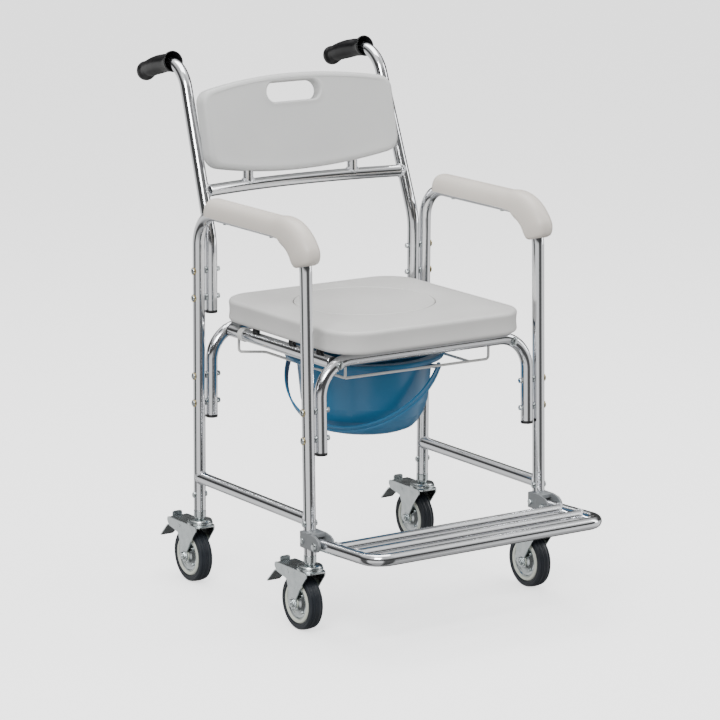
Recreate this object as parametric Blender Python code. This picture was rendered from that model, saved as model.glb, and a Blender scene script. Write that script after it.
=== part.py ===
"""Commode chair on four casters: an aluminium tube frame, a padded seat with a lift-out
lid, a bucket in a wire hanger, a moulded backrest and a footrest that folds up.

Metres, +Z up.  The chair faces -Y and stands on z = 0.  Left and right are as seen from
in front of it, so left is -X.
"""

import bmesh
import bpy
import numpy as np

# Tubes
TUBE_R = 0.0110
BORE_R = 0.0096
TUBE_SIDES = 10
SIDE_X = 0.2470  # outer legs and arms
INNER_X = 0.2210  # tubes bolted inside the legs

# Side frames
LEG_BOTTOM_Z = 0.140
ARM_Z = 0.695
ARM_BEND_R = 0.062
LOW_RAIL_Z = 0.2015

# Inner tubes
SEAT_TUBE_Z = 0.476
SEAT_BEND_R = 0.060
FRONT_U_BOTTOM_Z = 0.3142
REAR_U_BOTTOM_Z = 0.3114
POST_BOTTOM_Z = 0.5057
RAIL_X = 0.186
RAIL_Z = 0.4705
RAIL_Y = (-0.1925, 0.1460)
FRONT_BOLT_Z = (0.3440, 0.3938)
REAR_BOLT_Z = (0.3412, 0.3915)
POST_BOLT_Z = (0.5355, 0.5852)
HOLE_R = 0.0033
SHANK_R = 0.0030

# Back posts and hand grips
POST_KINK = (0.2210, 0.1560, 0.6370)
POST_KINK_R = 0.120
POST_TOP = (0.2107, 0.2704, 0.9544)
POST_TOP_R = 0.060
POST_END = (0.2048, 0.4100, 0.9161)
GRIP_RIM = (0.2094, 0.3013, 0.9459)
GRIP_END = (0.2044, 0.4193, 0.9136)

# Backrest
CROSS_Z = 0.7235
CROSS_X = 0.2066
CROSS_Y = (0.1845, 0.2090)  # at the posts and in the middle
STUB_X = 0.1136
STUB_R = 0.0095
STUB_TOP_Z = 0.763
PANEL_HALF_WIDTH = 0.207
PANEL_THICKNESS = 0.030
PANEL_EDGE_R = 0.013
PANEL_TOP_Z = 0.915
PANEL_BOTTOM_Z = 0.742
SLOT_Z = 0.8825
SLOT_HALF = 0.058
SLOT_R = 0.0175

# Armrest pads
PAD_HALF_WIDTH = 0.0230
PAD_REAR_Y = 0.108
PAD_BOTTOM_Z = 0.648
PAD_BORE_R = 0.0115

# Seat
SEAT_HALF_WIDTH = 0.200
SEAT_Y = (-0.247, 0.178)
SEAT_CORNER_R = 0.065
SEAT_Z = (0.490, 0.531)
LID_CENTRE_Y = -0.010
LID_R = 0.128
LID_SEAT_Z = 0.500

# Bucket, its hanger and its handle
WIRE_R = 0.0025
WIRE_Z = 0.429
RUNNER_X = 0.131
BUCKET_BOTTOM_Z = 0.300
HANDLE_Z = 0.422
HANDLE_AXIS_DEG = -57.0
HANDLE_TILT_DEG = 49.0
HANDLE_HALF = 0.145
HANDLE_DEPTH = 0.158
HANDLE_STRIP = (0.014, 0.003)
PIN_R = 0.004

# Footrest
BRACKET_Z = (0.155, 0.184)
BRACKET_X = (0.2290, 0.2625)
FOOT_PIVOT = (-0.2483, 0.1645)  # y and z
FOOT_X = 0.2435
FOOT_FRONT = (-0.409, 0.1720)
FOOT_BEND_R = 0.035
FOOT_BAR_Y = (-0.286, -0.347)

# Casters, measured from the swivel axis on the floor
AXLE = (0.025, 0.050)  # y and z
BRAKE_PIVOT = (0.040, 0.104)
WHEEL_R = 0.050
RING_R = 0.0374
TYRE_HALF = 0.013
HUB_HALF = 0.0165
FORK_HALF = 0.0205
FORK_INNER = 0.0180


def front_leg_y(z):
    """The front legs lean back a little as they rise."""
    return -0.2079 + 0.0218 * (z - 0.3)


def rear_leg_y(z):
    """The rear legs lean forward a little as they rise."""
    return 0.1596 - 0.0110 * (z - 0.3)


CASTER_Y = {"front": front_leg_y(0.155), "rear": rear_leg_y(0.155)}


# ---------------------------------------------------------------- shapes
# A shape is a pair: an array of points and a list of faces.


def unit(vector):
    vector = np.asarray(vector, float)
    return vector / np.linalg.norm(vector)


def rounded_path(corners, radii, steps):
    """Straight runs through the corners, each inner corner rounded to its radius."""
    corners = [np.asarray(corner, float) for corner in corners]
    points = [corners[0]]
    for before, corner, after, radius in zip(corners, corners[1:], corners[2:], radii):
        into = unit(corner - before)
        out = unit(after - corner)
        turn = np.arccos(np.clip(into @ out, -1, 1))
        start = corner - into * radius * np.tan(turn / 2)
        inward = unit(out - into * (into @ out))
        for angle in np.linspace(0, turn, steps + 1):
            bend = inward * (1 - np.cos(angle)) + into * np.sin(angle)
            points.append(start + radius * bend)
    points.append(corners[-1])
    return np.array(points)


def frames_along(path):
    """The tangent and two normals at each point, carried along without twist."""
    runs = np.diff(path, axis=0)
    runs /= np.linalg.norm(runs, axis=1)[:, None]
    tangents = np.vstack([runs[:1], runs[:-1] + runs[1:], runs[-1:]])
    tangents /= np.linalg.norm(tangents, axis=1)[:, None]
    guide = np.eye(3)[np.argmin(np.abs(tangents[0]))]
    first = []
    for tangent in tangents:
        guide = unit(guide - tangent * (guide @ tangent))
        first.append(guide)
    first = np.array(first)
    return tangents, first, np.cross(tangents, first)


def ring_faces(rings, sides, loop=False):
    """Quads between neighbouring rings of points, and from the last to the first."""
    faces = []
    for ring in range(rings if loop else rings - 1):
        low = ring * sides
        high = (ring + 1) % rings * sides
        for side in range(sides):
            after = (side + 1) % sides
            faces.append((low + side, low + after, high + after, high + side))
    return faces


def rod(path, radius, sides=TUBE_SIDES, ends=(None, None)):
    """A solid round bar along a path.  An end can be cut square to a given direction."""
    path = np.asarray(path, float)
    tangents, across, up = frames_along(path)
    angles = np.arange(sides) * 2 * np.pi / sides + np.pi / sides
    circle = np.cos(angles)[:, None, None] * across + np.sin(angles)[:, None, None] * up
    points = path + radius * circle
    for index, normal in zip((0, -1), ends):
        if normal is not None:
            normal = unit(normal)
            gap = (path[index] - points[:, index]) @ normal
            points[:, index] += np.outer(gap / (tangents[index] @ normal), tangents[index])
    points = points.transpose(1, 0, 2).reshape(-1, 3)
    last = len(points) - sides
    faces = ring_faces(len(path), sides)
    faces.append(tuple(range(sides)))
    faces.append(tuple(last + side for side in range(sides)))
    return points, faces


def tube(path, outer=TUBE_R, inner=BORE_R, sides=TUBE_SIDES):
    """A bored bar, open at both ends."""
    wall, faces = rod(path, outer, sides)
    bore, _ = rod(path, inner, sides)
    count = len(path) * sides
    faces = faces[:-2]
    faces += [tuple(count + index for index in face[::-1]) for face in faces]
    for start in (0, count - sides):
        for side in range(sides):
            here = start + side
            after = start + (side + 1) % sides
            faces.append((here, after, count + after, count + here))
    return np.vstack([wall, bore]), faces


def longer(path, extra=0.004):
    """The same path carried on past both of its ends."""
    path = np.array(path, float)
    path[0] -= unit(path[1] - path[0]) * extra
    path[-1] += unit(path[-1] - path[-2]) * extra
    return path


def turned(profile, sides, loop=False):
    """A profile of (radius, height) turned about Z; a loop makes a ring."""
    angles = np.arange(sides) * 2 * np.pi / sides + np.pi / sides
    points = []
    starts = []
    for radius, height in profile:
        starts.append(len(points))
        if radius == 0:
            points.append((0, 0, height))
            continue
        for angle in angles:
            points.append((radius * np.cos(angle), radius * np.sin(angle), height))
    faces = []
    count = len(profile)
    for index in range(count if loop else count - 1):
        low = starts[index]
        high = starts[(index + 1) % count]
        low_tip = profile[index][0] == 0
        high_tip = profile[(index + 1) % count][0] == 0
        for side in range(sides):
            after = (side + 1) % sides
            if low_tip:
                faces.append((low, high + after, high + side))
            elif high_tip:
                faces.append((low + side, low + after, high))
            else:
                faces.append((low + side, low + after, high + after, high + side))
    return np.array(points, float), faces


def cylinder(radius, low, high, sides):
    """A plain round bar along Z."""
    return turned([(0, low), (radius, low), (radius, high), (0, high)], sides)


def prism(outline, axis, low, high):
    """A flat outline pushed out along X or Z; it is (y, z) for X and (x, y) for Z."""
    outline = np.asarray(outline, float)
    count = len(outline)
    points = []
    for level in (low, high):
        level_column = np.full((count, 1), level)
        if axis == "X":
            points.append(np.hstack([level_column, outline]))
        else:
            points.append(np.hstack([outline, level_column]))
    faces = ring_faces(2, count)
    faces.append(tuple(range(count)))
    faces.append(tuple(range(count, 2 * count)))
    return np.vstack(points), faces


def box(low, high):
    """A block between two corners."""
    x = (low[0], high[0])
    y = (low[1], high[1])
    outline = [(x[0], y[0]), (x[1], y[0]), (x[1], y[1]), (x[0], y[1])]
    return prism(outline, "Z", low[2], high[2])


def moved(shape, by):
    return shape[0] + np.asarray(by, float), shape[1]


def along_x(shape):
    """Turns a shape from the Z axis onto the X axis."""
    return shape[0][:, [2, 0, 1]], shape[1]


def mirrored(shape):
    return shape[0] * (-1, 1, 1), shape[1]


def gathered(shapes):
    """Several separate shapes held as one."""
    points = []
    faces = []
    count = 0
    for shape_points, shape_faces in shapes:
        points.append(shape_points)
        faces += [tuple(index + count for index in face) for face in shape_faces]
        count += len(shape_points)
    return np.vstack(points), faces


# ---------------------------------------------------------------- objects


def clear_scene():
    for old in list(bpy.data.objects):
        bpy.data.objects.remove(old, do_unlink=True)


def material(name, colour, metallic, roughness):
    made = bpy.data.materials.new(name)
    made.use_nodes = True
    shader = made.node_tree.nodes["Principled BSDF"]
    shader.inputs["Base Color"].default_value = (*colour, 1)
    shader.inputs["Metallic"].default_value = metallic
    shader.inputs["Roughness"].default_value = roughness
    made.diffuse_color = (*colour, 1)
    return made


def mesh_of(name, shape, smooth):
    """A mesh whose faces all point out."""
    mesh = bpy.data.meshes.new(name)
    mesh.from_pydata([tuple(point) for point in shape[0]], [], shape[1])
    work = bmesh.new()
    work.from_mesh(mesh)
    bmesh.ops.recalc_face_normals(work, faces=work.faces)
    work.to_mesh(mesh)
    work.free()
    mesh.polygons.foreach_set("use_smooth", [smooth] * len(mesh.polygons))
    return mesh


def add_object(name, shape, slot, origin=(0, 0, 0), smooth=True):
    """A named piece.  Its points are given in world space and stored about its origin."""
    mesh = mesh_of(name, moved(shape, -np.asarray(origin, float)), smooth)
    mesh.materials.append(slot)
    return add_copy(name, mesh, origin)


def add_copy(name, mesh, origin):
    made = bpy.data.objects.new(name, mesh)
    made.location = origin
    bpy.context.scene.collection.objects.link(made)
    return made


def boolean(target, shape, operation, tag, origin=(0, 0, 0)):
    """Joins a shape to the target or cuts it away, by a hidden helper object."""
    name = target.name + "_" + tag
    helper = add_copy(name, mesh_of(name, shape, False), origin)
    helper.hide_render = True
    helper.display_type = "WIRE"
    step = target.modifiers.new(tag, "BOOLEAN")
    step.operation = operation
    step.solver = "EXACT"
    step.object = helper
    return helper


def bolt_holes(x_low, x_high, places, radius=HOLE_R):
    """Cutters along X at each (y, z)."""
    drill = along_x(cylinder(radius, x_low, x_high, 8))
    return gathered([moved(drill, (0, y, z)) for y, z in places])


def post_axis():
    """The centre line of the right back post, from the foot to the end in the grip."""
    foot = (INNER_X, rear_leg_y(POST_BOTTOM_Z), POST_BOTTOM_Z)
    corners = [foot, POST_KINK, POST_TOP, POST_END]
    return rounded_path(corners, [POST_KINK_R, POST_TOP_R], 6)


def side_frame_axis():
    """The centre line of one leg, arm and leg on the right."""
    corners = [
        (SIDE_X, front_leg_y(LEG_BOTTOM_Z), LEG_BOTTOM_Z),
        (SIDE_X, front_leg_y(ARM_Z), ARM_Z),
        (SIDE_X, rear_leg_y(ARM_Z), ARM_Z),
        (SIDE_X, rear_leg_y(LEG_BOTTOM_Z), LEG_BOTTOM_Z),
    ]
    return rounded_path(corners, [ARM_BEND_R, ARM_BEND_R], 5)


def inner_u_axis(leg_y, bottom_z):
    """An upside-down U between the legs, in their plane."""
    corners = [
        (-INNER_X, leg_y(bottom_z), bottom_z),
        (-INNER_X, leg_y(SEAT_TUBE_Z), SEAT_TUBE_Z),
        (INNER_X, leg_y(SEAT_TUBE_Z), SEAT_TUBE_Z),
        (INNER_X, leg_y(bottom_z), bottom_z),
    ]
    return rounded_path(corners, [SEAT_BEND_R, SEAT_BEND_R], 4)


def frame_bolt_places():
    """Name, y and z of each bolt that holds an inner tube to a leg."""
    places = []
    for word, heights, leg_y in (
        ("front", FRONT_BOLT_Z, front_leg_y),
        ("rear", REAR_BOLT_Z, rear_leg_y),
        ("post", POST_BOLT_Z, rear_leg_y),
    ):
        for level, z in zip(("lower", "upper"), heights):
            places.append((word + "_" + level, leg_y(z), z))
    return places


# ---------------------------------------------------------------- frame


def build_side_frames(slot):
    axis = side_frame_axis()
    rail = np.array(
        [
            (SIDE_X, front_leg_y(LOW_RAIL_Z), LOW_RAIL_Z),
            (SIDE_X, rear_leg_y(LOW_RAIL_Z), LOW_RAIL_Z),
        ]
    )
    places = [(y, z) for _, y, z in frame_bolt_places()]
    for word, sign in (("left", -1), ("right", 1)):
        turn = mirrored if sign < 0 else lambda shape: shape
        frame = add_object("side_frame_" + word, turn(rod(axis, TUBE_R)), slot)
        boolean(frame, turn(rod(rail, TUBE_R)), "UNION", "rail")
        boolean(frame, turn(rod(longer(axis), BORE_R)), "DIFFERENCE", "bore")
        boolean(frame, turn(rod(rail, BORE_R)), "DIFFERENCE", "rail_bore")
        holes = bolt_holes(SIDE_X - 0.013, SIDE_X + 0.013, places)
        boolean(frame, turn(holes), "DIFFERENCE", "holes")


def build_seat_frame(slot):
    for word, leg_y, bottom_z, heights in (
        ("front", front_leg_y, FRONT_U_BOTTOM_Z, FRONT_BOLT_Z),
        ("rear", rear_leg_y, REAR_U_BOTTOM_Z, REAR_BOLT_Z),
    ):
        axis = inner_u_axis(leg_y, bottom_z)
        frame = add_object("seat_frame_" + word, tube(axis), slot)
        places = [(leg_y(z), z) for z in heights]
        holes = bolt_holes(INNER_X - 0.013, INNER_X + 0.013, places)
        boolean(frame, gathered([holes, mirrored(holes)]), "DIFFERENCE", "holes")
    for word, sign in (("left", -1), ("right", 1)):
        ends = [(sign * RAIL_X, y, RAIL_Z) for y in RAIL_Y]
        add_object("seat_rail_" + word, tube(ends), slot)


def build_back(tube_slot, panel_slot, grip_slot):
    axis = post_axis()
    places = [(rear_leg_y(z), z) for z in POST_BOLT_Z]
    holes = bolt_holes(INNER_X - 0.013, INNER_X + 0.013, places)
    for word, sign in (("left", -1), ("right", 1)):
        turn = mirrored if sign < 0 else lambda shape: shape
        post = add_object("back_post_" + word, turn(tube(axis)), tube_slot)
        boolean(post, turn(holes), "DIFFERENCE", "holes")
        add_object("grip_" + word, turn(grip_shape()), grip_slot)
    build_cross_tube(tube_slot)
    build_panel(panel_slot)


def grip_shape():
    """A moulded sleeve over the end of the post, flared where the tube comes in."""
    length = np.linalg.norm(np.subtract(GRIP_END, GRIP_RIM))
    profile = [
        (0.0000, 0.1150),
        (0.0117, 0.1150),
        (0.0117, 0.0280),
        (0.0178, 0.0000),
        (0.0197, 0.0000),
        (0.0197, 0.0040),
        (0.0170, 0.0095),
        (0.0168, 0.0200),
        (0.0175, 0.0650),
        (0.0163, 0.1020),
        (0.0180, 0.1110),
        (0.0165, 0.1190),
        (0.0090, length),
        (0.0000, length),
    ]
    return stood_on(GRIP_RIM, GRIP_END, turned(profile, 12))


def stood_on(start, end, shape):
    """Stands a shape made along Z on the line from start to end."""
    along = unit(np.subtract(end, start))
    across = unit(np.cross(along, (1, 0, 0)))
    basis = np.array([np.cross(across, along), across, along])
    return shape[0] @ basis + np.asarray(start, float), shape[1]


def cross_tube_axis():
    """The cross tube bows back between the posts."""
    x = np.linspace(-CROSS_X, CROSS_X, 9)
    y = CROSS_Y[1] - (CROSS_Y[1] - CROSS_Y[0]) * (x / CROSS_X) ** 2
    return np.column_stack([x, y, np.full(9, CROSS_Z)])


def build_cross_tube(slot):
    axis = cross_tube_axis()
    square = ((1, 0, 0), (1, 0, 0))
    bar = add_object("backrest_cross_tube", rod(axis, TUBE_R, ends=square), slot)
    for word, sign in (("left", -1), ("right", 1)):
        x = sign * STUB_X
        stub = cylinder(STUB_R, CROSS_Z, STUB_TOP_Z, 12)
        boolean(bar, moved(stub, (x, stub_y(), 0)), "UNION", "stub_" + word)
    boolean(bar, rod(longer(axis), BORE_R), "DIFFERENCE", "bore")


def stub_y():
    return CROSS_Y[1] - (CROSS_Y[1] - CROSS_Y[0]) * (STUB_X / CROSS_X) ** 2


def panel_edge(count):
    """The outline of the backrest as (x, z), arched above and below."""
    x = np.linspace(-1, 1, 9) * 0.170
    top = PANEL_TOP_Z - 0.013 * (x / 0.175) ** 2
    bottom = PANEL_BOTTOM_Z + 0.015 * (x / 0.165) ** 2
    side = PANEL_HALF_WIDTH
    corner_top = PANEL_TOP_Z - 0.013 * (side / 0.175) ** 2
    corner_bottom = PANEL_BOTTOM_Z + 0.015 * (side / 0.165) ** 2
    right_top = rounded_path(
        [(x[-1], 0, top[-1]), (side, 0, corner_top), (side, 0, SLOT_Z - 0.05)], [0.024], 5
    )
    right_bottom = rounded_path(
        [(side, 0, SLOT_Z - 0.05), (side, 0, corner_bottom), (x[-1], 0, bottom[-1])],
        [0.029],
        5,
    )
    right = np.vstack([right_top, right_bottom[1:]])
    left = (right * (-1, 1, 1))[::-1]
    edge = np.vstack(
        [
            np.column_stack([x, x * 0, top])[:-1],
            right[:-1],
            np.column_stack([x, x * 0, bottom])[:0:-1],
            left[:-1],
        ]
    )[:, [0, 2]]
    return evenly_spaced(edge, count)


def evenly_spaced(edge, count):
    """The same closed outline with evenly spaced points."""
    ring = np.vstack([edge, edge[:1]])
    reach = np.append(0, np.cumsum(np.linalg.norm(np.diff(ring, axis=0), axis=1)))
    wanted = np.arange(count) * reach[-1] / count
    return np.column_stack([np.interp(wanted, reach, ring[:, axis]) for axis in (0, 1)])


def inset(edge, by):
    """Moves a closed convex outline inwards."""
    ahead = np.roll(edge, -1, axis=0) - np.roll(edge, 1, axis=0)
    normal = np.column_stack([ahead[:, 1], -ahead[:, 0]])
    normal /= np.linalg.norm(normal, axis=1)[:, None]
    inward = np.sign(((edge.mean(axis=0) - edge) * normal).sum())
    return edge + normal * inward * by


def slot_edge(edge, grow):
    """Points of the hand slot in the directions of the outline's points."""
    away = edge - (0, SLOT_Z)
    angle = np.arctan2(away[:, 1], away[:, 0])
    radius = SLOT_R + grow
    half = SLOT_HALF - SLOT_R
    cosine = np.abs(np.cos(angle))
    sine = np.abs(np.sin(angle))
    flat = radius / np.maximum(sine, 1e-9)
    root = np.sqrt(np.maximum(radius**2 - (half * sine) ** 2, 0))
    reach = np.where(flat * cosine <= half, flat, half * cosine + root)
    return np.column_stack([reach * np.cos(angle), SLOT_Z + reach * np.sin(angle)])


def panel_y(x, z):
    """The middle surface of the backrest: it leans back and its sides come forward."""
    return 0.226 + 0.24 * (z - 0.83) - 0.021 * (x / 0.2) ** 2


def panel_ring(edge, depth):
    """Puts an (x, z) outline on the middle surface and lifts it off by a depth."""
    x, z = edge.T
    normal = np.column_stack([0.042 * x / 0.04, np.ones_like(x), np.full_like(x, -0.24)])
    normal /= np.linalg.norm(normal, axis=1)[:, None]
    return np.column_stack([x, panel_y(x, z), z]) + normal * np.asarray(depth).reshape(-1, 1)


def build_panel(slot):
    count = 44
    outline = panel_edge(count)
    half = PANEL_THICKNESS / 2
    flat = half - PANEL_EDGE_R
    rings = []
    face = inset(outline, PANEL_EDGE_R)
    rim = slot_edge(outline, 0.006)
    for share in (0, 0.5):
        rings.append(panel_ring(rim + (face - rim) * share, -half))
    for angle in np.radians((0, 45, 90)):
        edge = inset(outline, PANEL_EDGE_R * (1 - np.sin(angle)))
        rings.append(panel_ring(edge, -flat - PANEL_EDGE_R * np.cos(angle)))
    for angle in np.radians((90, 45, 0)):
        edge = inset(outline, PANEL_EDGE_R * (1 - np.sin(angle)))
        rings.append(panel_ring(edge, flat + PANEL_EDGE_R * np.cos(angle)))
    for share in (0.5, 0):
        rings.append(panel_ring(rim + (face - rim) * share, half))
    for depth in (half - 0.005, -half + 0.005):
        rings.append(panel_ring(slot_edge(outline, 0), depth))
    shape = np.vstack(rings), ring_faces(len(rings), count, loop=True)
    panel = add_object("backrest_panel", shape, slot)
    pocket = cylinder(STUB_R + 0.0005, PANEL_BOTTOM_Z - 0.02, STUB_TOP_Z + 0.0015, 12)
    pockets = [moved(pocket, (sign * STUB_X, stub_y(), 0)) for sign in (-1, 1)]
    boolean(panel, gathered(pockets), "DIFFERENCE", "pockets")


def pad_section(places, tangents, wrap_deg, heights):
    """A C-shaped section swept along part of the arm tube."""
    side = np.array((1.0, 0.0, 0.0))
    count = 13
    angle = np.linspace(-1, 1, count) * np.radians(wrap_deg)
    power = 2 / 2.7
    across = PAD_HALF_WIDTH * np.sign(np.sin(angle)) * np.abs(np.sin(angle)) ** power
    shape = np.sign(np.cos(angle)) * np.abs(np.cos(angle)) ** power
    near_across = PAD_BORE_R * np.sin(angle)
    near_away = PAD_BORE_R * np.cos(angle)
    rings = []
    for index, (place, tangent, height) in enumerate(zip(places, tangents, heights)):
        out = unit(np.cross(tangent, side))
        scale = 0.86 if index in (0, len(places) - 1) else 1
        away = shape * np.where(np.cos(angle) > 0, height, 0.0205)
        wide = np.concatenate([across * scale, near_across[::-1]])
        high = np.concatenate([away * scale, near_away[::-1]])
        rings.append(place + np.outer(wide, side) + np.outer(high, out))
    faces = ring_faces(len(rings), 2 * count)
    last = (len(rings) - 1) * 2 * count
    for start in (0, last):
        for step in range(count - 1):
            far = start + 2 * count - 1 - step
            faces.append((start + step, start + step + 1, far - 1, far))
    return np.vstack(rings), faces


def build_arm_pads(slot):
    """Each pad sits on the arm tube and closes round it in the bend and down the leg."""
    turn = side_frame_axis()[1:7]
    bend = [point for point in turn[::-1] if point[2] > PAD_BOTTOM_Z + 0.006]
    above, foot = (
        (SIDE_X, np.interp(z, turn[:, 2], turn[:, 1]), z)
        for z in (PAD_BOTTOM_Z + 0.004, PAD_BOTTOM_Z)
    )
    lead = [(SIDE_X, y, ARM_Z) for y in (-0.098, -0.104)]
    front = np.vstack([lead, bend, above, foot])
    arm = np.array([(SIDE_X, y, ARM_Z) for y in (PAD_REAR_Y, PAD_REAR_Y - 0.005, -0.1, -0.12)])
    swell = np.clip((ARM_Z - front[:, 2]) / 0.045, 0, 1)
    heights = 0.0316 + 0.007 * np.sin(np.pi * swell) - 0.003 * swell
    for word, flip in (("left", mirrored), ("right", lambda shape: shape)):
        wrapped = pad_section(front, frames_along(front)[0], 177, heights)
        pad = add_object("armrest_pad_" + word, flip(wrapped), slot)
        level = pad_section(arm, frames_along(arm)[0], 90, [0.0316] * 4)
        boolean(pad, flip(level), "UNION", "arm")


# ---------------------------------------------------------------- seat and bucket


def seat_edge(count):
    """The cushion's outline as (x, y)."""
    x = SEAT_HALF_WIDTH
    low, high = SEAT_Y
    middle = (low + high) / 2
    corners = [(x, middle), (x, high), (-x, high), (-x, low), (x, low), (x, middle)]
    path = rounded_path([(*corner, 0) for corner in corners], [SEAT_CORNER_R] * 4, 7)
    return evenly_spaced(path[:-1, :2], count)


def round_hole(edge, radius):
    """Points of the round hole in the directions of the outline's points."""
    away = edge - (0, LID_CENTRE_Y)
    away /= np.linalg.norm(away, axis=1)[:, None]
    return away * radius + (0, LID_CENTRE_Y)


def flat_ring(edge, z):
    return np.column_stack([edge, np.full(len(edge), z)])


def build_seat(slot):
    count = 48
    outline = seat_edge(count)
    low, high = SEAT_Z
    rings = [
        flat_ring(round_hole(outline, 0.1120), low),
        flat_ring(round_hole(outline, 0.1120), LID_SEAT_Z - 0.0005),
        flat_ring(round_hole(outline, 0.1290), LID_SEAT_Z - 0.0005),
        flat_ring(round_hole(outline, 0.1290), high - 0.003),
        flat_ring(round_hole(outline, 0.1315), high),
    ]
    for angle in np.radians((0, 45, 90)):
        edge = inset(outline, 0.012 * (1 - np.sin(angle)))
        rings.append(flat_ring(edge, high - 0.012 * (1 - np.cos(angle))))
    for angle in np.radians((0, 45, 90)):
        edge = inset(outline, 0.009 * (1 - np.cos(angle)))
        rings.append(flat_ring(edge, low + 0.009 * (1 - np.sin(angle))))
    shape = np.vstack(rings), ring_faces(len(rings), count, loop=True)
    add_object("seat_cushion", shape, slot)
    lid = [
        (0.0000, LID_SEAT_Z),
        (LID_R - 0.002, LID_SEAT_Z),
        (LID_R, LID_SEAT_Z + 0.002),
        (LID_R, high - 0.003),
        (LID_R - 0.004, high),
        (0.0000, high),
    ]
    centre = (0, LID_CENTRE_Y, LID_SEAT_Z)
    shape = moved(turned(lid, 36), (0, LID_CENTRE_Y, 0))
    add_object("seat_lid", shape, slot, origin=centre)


def build_hanger(slot):
    """White wire that hangs inside the seat frame and carries the bucket's rim."""
    front_left = (-RUNNER_X, -0.147)
    front_right = (0.172, -0.155)
    back = [(0.118, WIRE_Z), (0.145, WIRE_Z), (0.145, 0.470)]
    outward = (RUNNER_X, 0.1705, 0.1705)
    left = [(*front_left, 0.4885), (*front_left, WIRE_Z)]
    left += [(-x, y, z) for x, (y, z) in zip(outward, back)]
    crossing_y = front_left[1] + (front_right[1] - front_left[1]) * 2 * RUNNER_X / 0.303
    right = [(RUNNER_X, crossing_y, WIRE_Z)]
    right += [(x, y, z) for x, (y, z) in zip(outward, back)]
    front = [(*front_left, WIRE_Z), (*front_right, WIRE_Z), (*front_right, 0.470)]
    wire = rounded_path(left, [0.006, 0.015, 0.006], 3)
    hanger = add_object("bucket_hanger", rod(wire, WIRE_R, 8), slot)
    wire = rod(rounded_path(front, [0.006], 3), WIRE_R, 8)
    boolean(hanger, wire, "UNION", "front")
    wire = rod(rounded_path(right, [0.015, 0.006], 3), WIRE_R, 8)
    boolean(hanger, wire, "UNION", "runner")


def handle_directions():
    """Along the handle's hinge, down its plane, and square to that plane."""
    turn = np.radians(HANDLE_AXIS_DEG)
    tilt = np.radians(HANDLE_TILT_DEG)
    along = np.array([np.cos(turn), np.sin(turn), 0])
    forward = np.array([np.sin(turn), -np.cos(turn), 0])
    down = np.sin(tilt) * forward + np.cos(tilt) * np.array([0, 0, -1])
    return along, down, np.cross(along, down)


def build_bucket(slot):
    centre = np.array((0, LID_CENTRE_Y, 0))
    profile = [
        (0.0000, 0.3000),
        (0.0780, 0.3000),
        (0.0900, 0.3050),
        (0.0990, 0.3150),
        (0.1080, 0.3300),
        (0.1155, 0.3530),
        (0.1235, 0.4318),
        (0.1430, 0.4318),
        (0.1440, 0.4345),
        (0.1430, 0.4390),
        (0.1400, 0.4400),
        (0.1240, 0.4400),
        (0.1215, 0.4370),
        (0.1135, 0.3530),
        (0.1062, 0.3310),
        (0.0975, 0.3170),
        (0.0885, 0.3072),
        (0.0770, 0.3022),
        (0.0000, 0.3022),
    ]
    shape = moved(turned(profile, 32), centre)
    origin = centre + (0, 0, BUCKET_BOTTOM_Z)
    bucket = add_object("bucket", shape, slot, origin=origin)
    along, down, across = handle_directions()
    pivot = centre + (0, 0, HANDLE_Z)
    for word, sign in (("near", 1), ("far", -1)):
        ends = [pivot + along * sign * reach for reach in (0.1212, 0.1490)]
        boolean(bucket, rod(ends, PIN_R, 12), "UNION", "pin_" + word)
    width, depth = HANDLE_STRIP
    rings = []
    for angle in np.radians(np.linspace(0, 180, 19)):
        place = along * HANDLE_HALF * np.cos(angle) + down * HANDLE_DEPTH * np.sin(angle)
        out = unit(along * np.cos(angle) / HANDLE_HALF + down * np.sin(angle) / HANDLE_DEPTH)
        for side, lift in ((1, 1), (-1, 1), (-1, -1), (1, -1)):
            rings.append(pivot + place + across * side * width / 2 + out * lift * depth / 2)
    faces = ring_faces(19, 4) + [(0, 1, 2, 3), (72, 73, 74, 75)]
    handle = add_object("bucket_handle", (np.array(rings), faces), slot, origin=pivot)
    for word, sign in (("near", 1), ("far", -1)):
        ends = [pivot + along * sign * (HANDLE_HALF + step) for step in (-0.0016, 0.0016)]
        boolean(handle, rod(ends, 0.0075, 12), "UNION", "eye_" + word)
        ends = [pivot + along * sign * (HANDLE_HALF + step) for step in (-0.005, 0.005)]
        boolean(handle, rod(ends, 0.0047, 12), "DIFFERENCE", "eye_hole_" + word)


# ---------------------------------------------------------------- footrest


def foot_z(y):
    """The footrest rises a little towards its front."""
    share = (y - FOOT_PIVOT[0]) / (FOOT_FRONT[0] - FOOT_PIVOT[0])
    return FOOT_PIVOT[1] + share * (FOOT_FRONT[1] - FOOT_PIVOT[1])


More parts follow.
